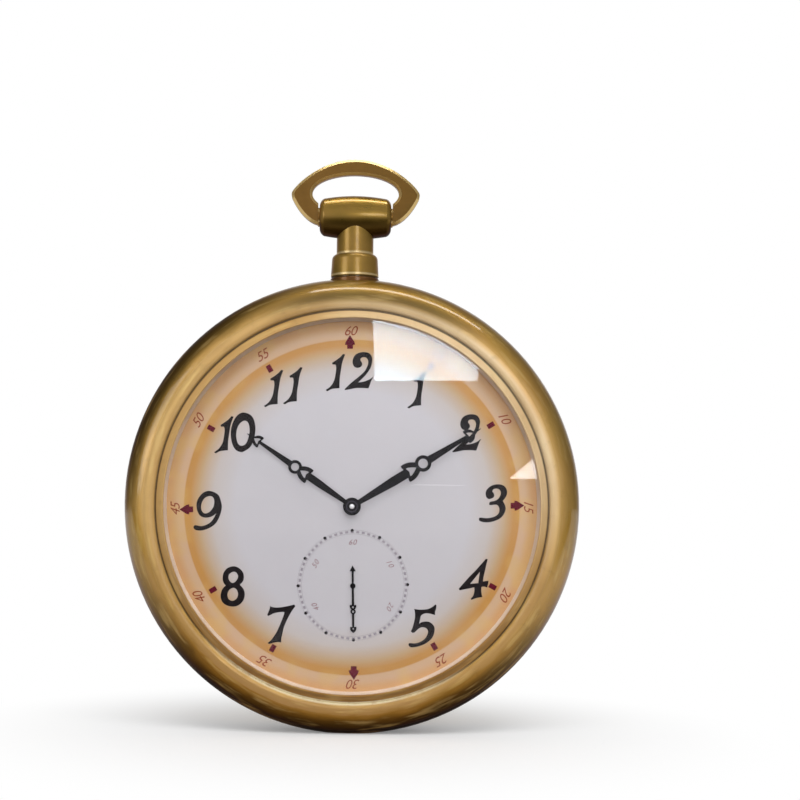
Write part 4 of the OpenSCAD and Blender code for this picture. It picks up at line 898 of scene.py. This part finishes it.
def set_light():
    """Soft light on everything, strips for the gold's highlights, and what the crystal reflects."""
    key = lamp("high_softbox", (0.5, -3.4, 5.2), (0, 0, 0.7), (5.0, 3.0), 165)
    left = lamp("left_softbox", (-4.6, -3.6, 2.4), (0, 0, 0.8), (2.4, 3.0), 50)
    side = lamp("right_softbox", (4.4, -5.0, 3.6), (0, 0, 0.9), (2.4, 3.0), 80)
    strip = lamp("ceiling_strip", (1.0, -0.90, 4.6), (1.0, -0.1, 0.9), (3.6, 0.55), 38)
    rear = lamp("rear_strip", (0.1, 0.30, 4.6), (0.1, 0.0, 1.5), (2.4, 0.5), 44)
    sheen = lamp("front_sheen", (1.8, -8.0, 2.9), (0, -0.1, 0.8), (2.4, 1.6), 60)
    slant = lamp("side_window", (2.52, -6.1, 1.305), (0.49, -0.13, 0.776), (0.52, 0.42), 24)
    faint = lamp("far_tube", (1.49, -8.0, 1.06), (0.24, -0.13, 0.73), (0.96, 0.024), 0.25)
    window = lamp("ceiling_window", (1.30, -8.0, 3.62), (0.2, -0.13, 1.1), (1.90, 1.35), 430,
                  colour=(0.78, 0.94, 1.0))
    key.visible_glossy = False
    side.visible_glossy = False
    wedge(slant.data)
    panes(window.data)

    def all_but(*names):
        return [piece for name, piece in NODES.items() if name not in names]

    pendant_top = ("crown_barrel", "bow", "bow_washers")
    light_only(sheen, all_but("crystal", "bow"))
    light_only(strip, all_but("crystal", "bezel_ring", *pendant_top))
    light_only(rear, [NODES[name] for name in pendant_top])
    for light in (slant, faint, window):
        light_only(light, [NODES["crystal"]])
    for light in (key, left, side):
        shaded_only(light, all_but("crystal", "hour_hand", "minute_hand", "seconds_hand", "hand_nut"))


def set_world():
    """A white wall behind the object that turns into a mid-grey room around and in front of it."""
    world = bpy.data.worlds.new("studio")
    bpy.context.scene.world = world
    world.use_nodes = True
    nodes = Nodes(world.node_tree)
    way = nodes.add("ShaderNodeTexCoord").outputs["Generated"]
    walls = nodes.ramp(nodes.spread(nodes.part(way, "Y"), -1.0, 1.0, how="LINEAR"), [
        (0.0, grey(0.56)), (0.08, grey(0.58)), (0.21, grey(0.42)), (0.43, grey(0.28)), (0.65, grey(0.20)),
        (0.80, grey(0.26)), (0.93, grey(1.0))])
    ceiling = nodes.spread(nodes.part(way, "Z"), 0.15, 0.95, 0.0, 0.26, how="LINEAR")
    room = nodes.blend(1.0, walls, ceiling, "LIGHTEN")
    nodes.give(nodes.tree.nodes["Background"], Color=room, Strength=1.0)


def set_floor():
    """A round white floor: lit and shaded near the object, plain white far off, and dull where no
    camera but only a mirror sees it, in front of the object."""
    made = bmesh.new()
    bmesh.ops.create_circle(made, cap_ends=True, segments=96, radius=30.0)
    data = bpy.data.meshes.new("studio_floor")
    made.to_mesh(data)
    made.free()
    floor = placed("studio_floor", data)
    finish = Finish("studio_floor")
    finish.surface(Base_Color=grey(0.30), Roughness=0.9, Specular_IOR_Level=0.1)
    rays = finish.add("ShaderNodeLightPath").outputs
    seen = finish.chain("MAXIMUM", rays["Is Camera Ray"], rays["Is Glossy Ray"], rays["Is Transmission Ray"])
    pale = finish.give(finish.add("ShaderNodeBsdfDiffuse"), Color=grey(0.80)).outputs[0]
    lifted = finish.shaders("ShaderNodeAddShader", pale, finish.emission(0.20))
    away = finish.spread(finish.vector("LENGTH", finish.place), 0.15, 1.3)
    shown = finish.shaders("ShaderNodeMixShader", away, lifted, finish.emission(1.0))
    ahead = finish.times(finish.spread(finish.axis("Y"), -1.0, -2.2), rays["Is Glossy Ray"])
    dull = finish.emission(finish.spread(finish.axis("Y"), -2.0, -16.0, 0.06, 0.62))
    mirrored = finish.shaders("ShaderNodeMixShader", ahead, shown, dull)
    choice = finish.shaders("ShaderNodeMixShader", seen, finish.shader.outputs[0], mirrored)
    finish.give(finish.tree.nodes["Material Output"], Surface=choice)
    data.materials.append(finish.material)


# ---------------------------------------------------------------- the whole

def build():
    set_camera()
    dress_nodes(make_finishes())
    black = ink("figure_ink", paint(18, 12, 14), paint(34, 26, 28))
    red = ink("mark_ink", paint(88, 8, 30), paint(108, 20, 42))
    brown = ink("minute_ink", paint(140, 60, 38), paint(166, 92, 64))
    mauve = ink("seconds_ink", paint(150, 112, 118), paint(174, 142, 146))
    pale = ink("track_ink", paint(160, 152, 162), paint(176, 168, 176))
    hour_figures(black)
    minute_figures(brown)
    small_dial_figures(mauve)
    dial_marks(red, black, pale)
    set_floor()
    set_world()
    set_light()
    bpy.context.scene.view_settings.view_transform = "Standard"


build()
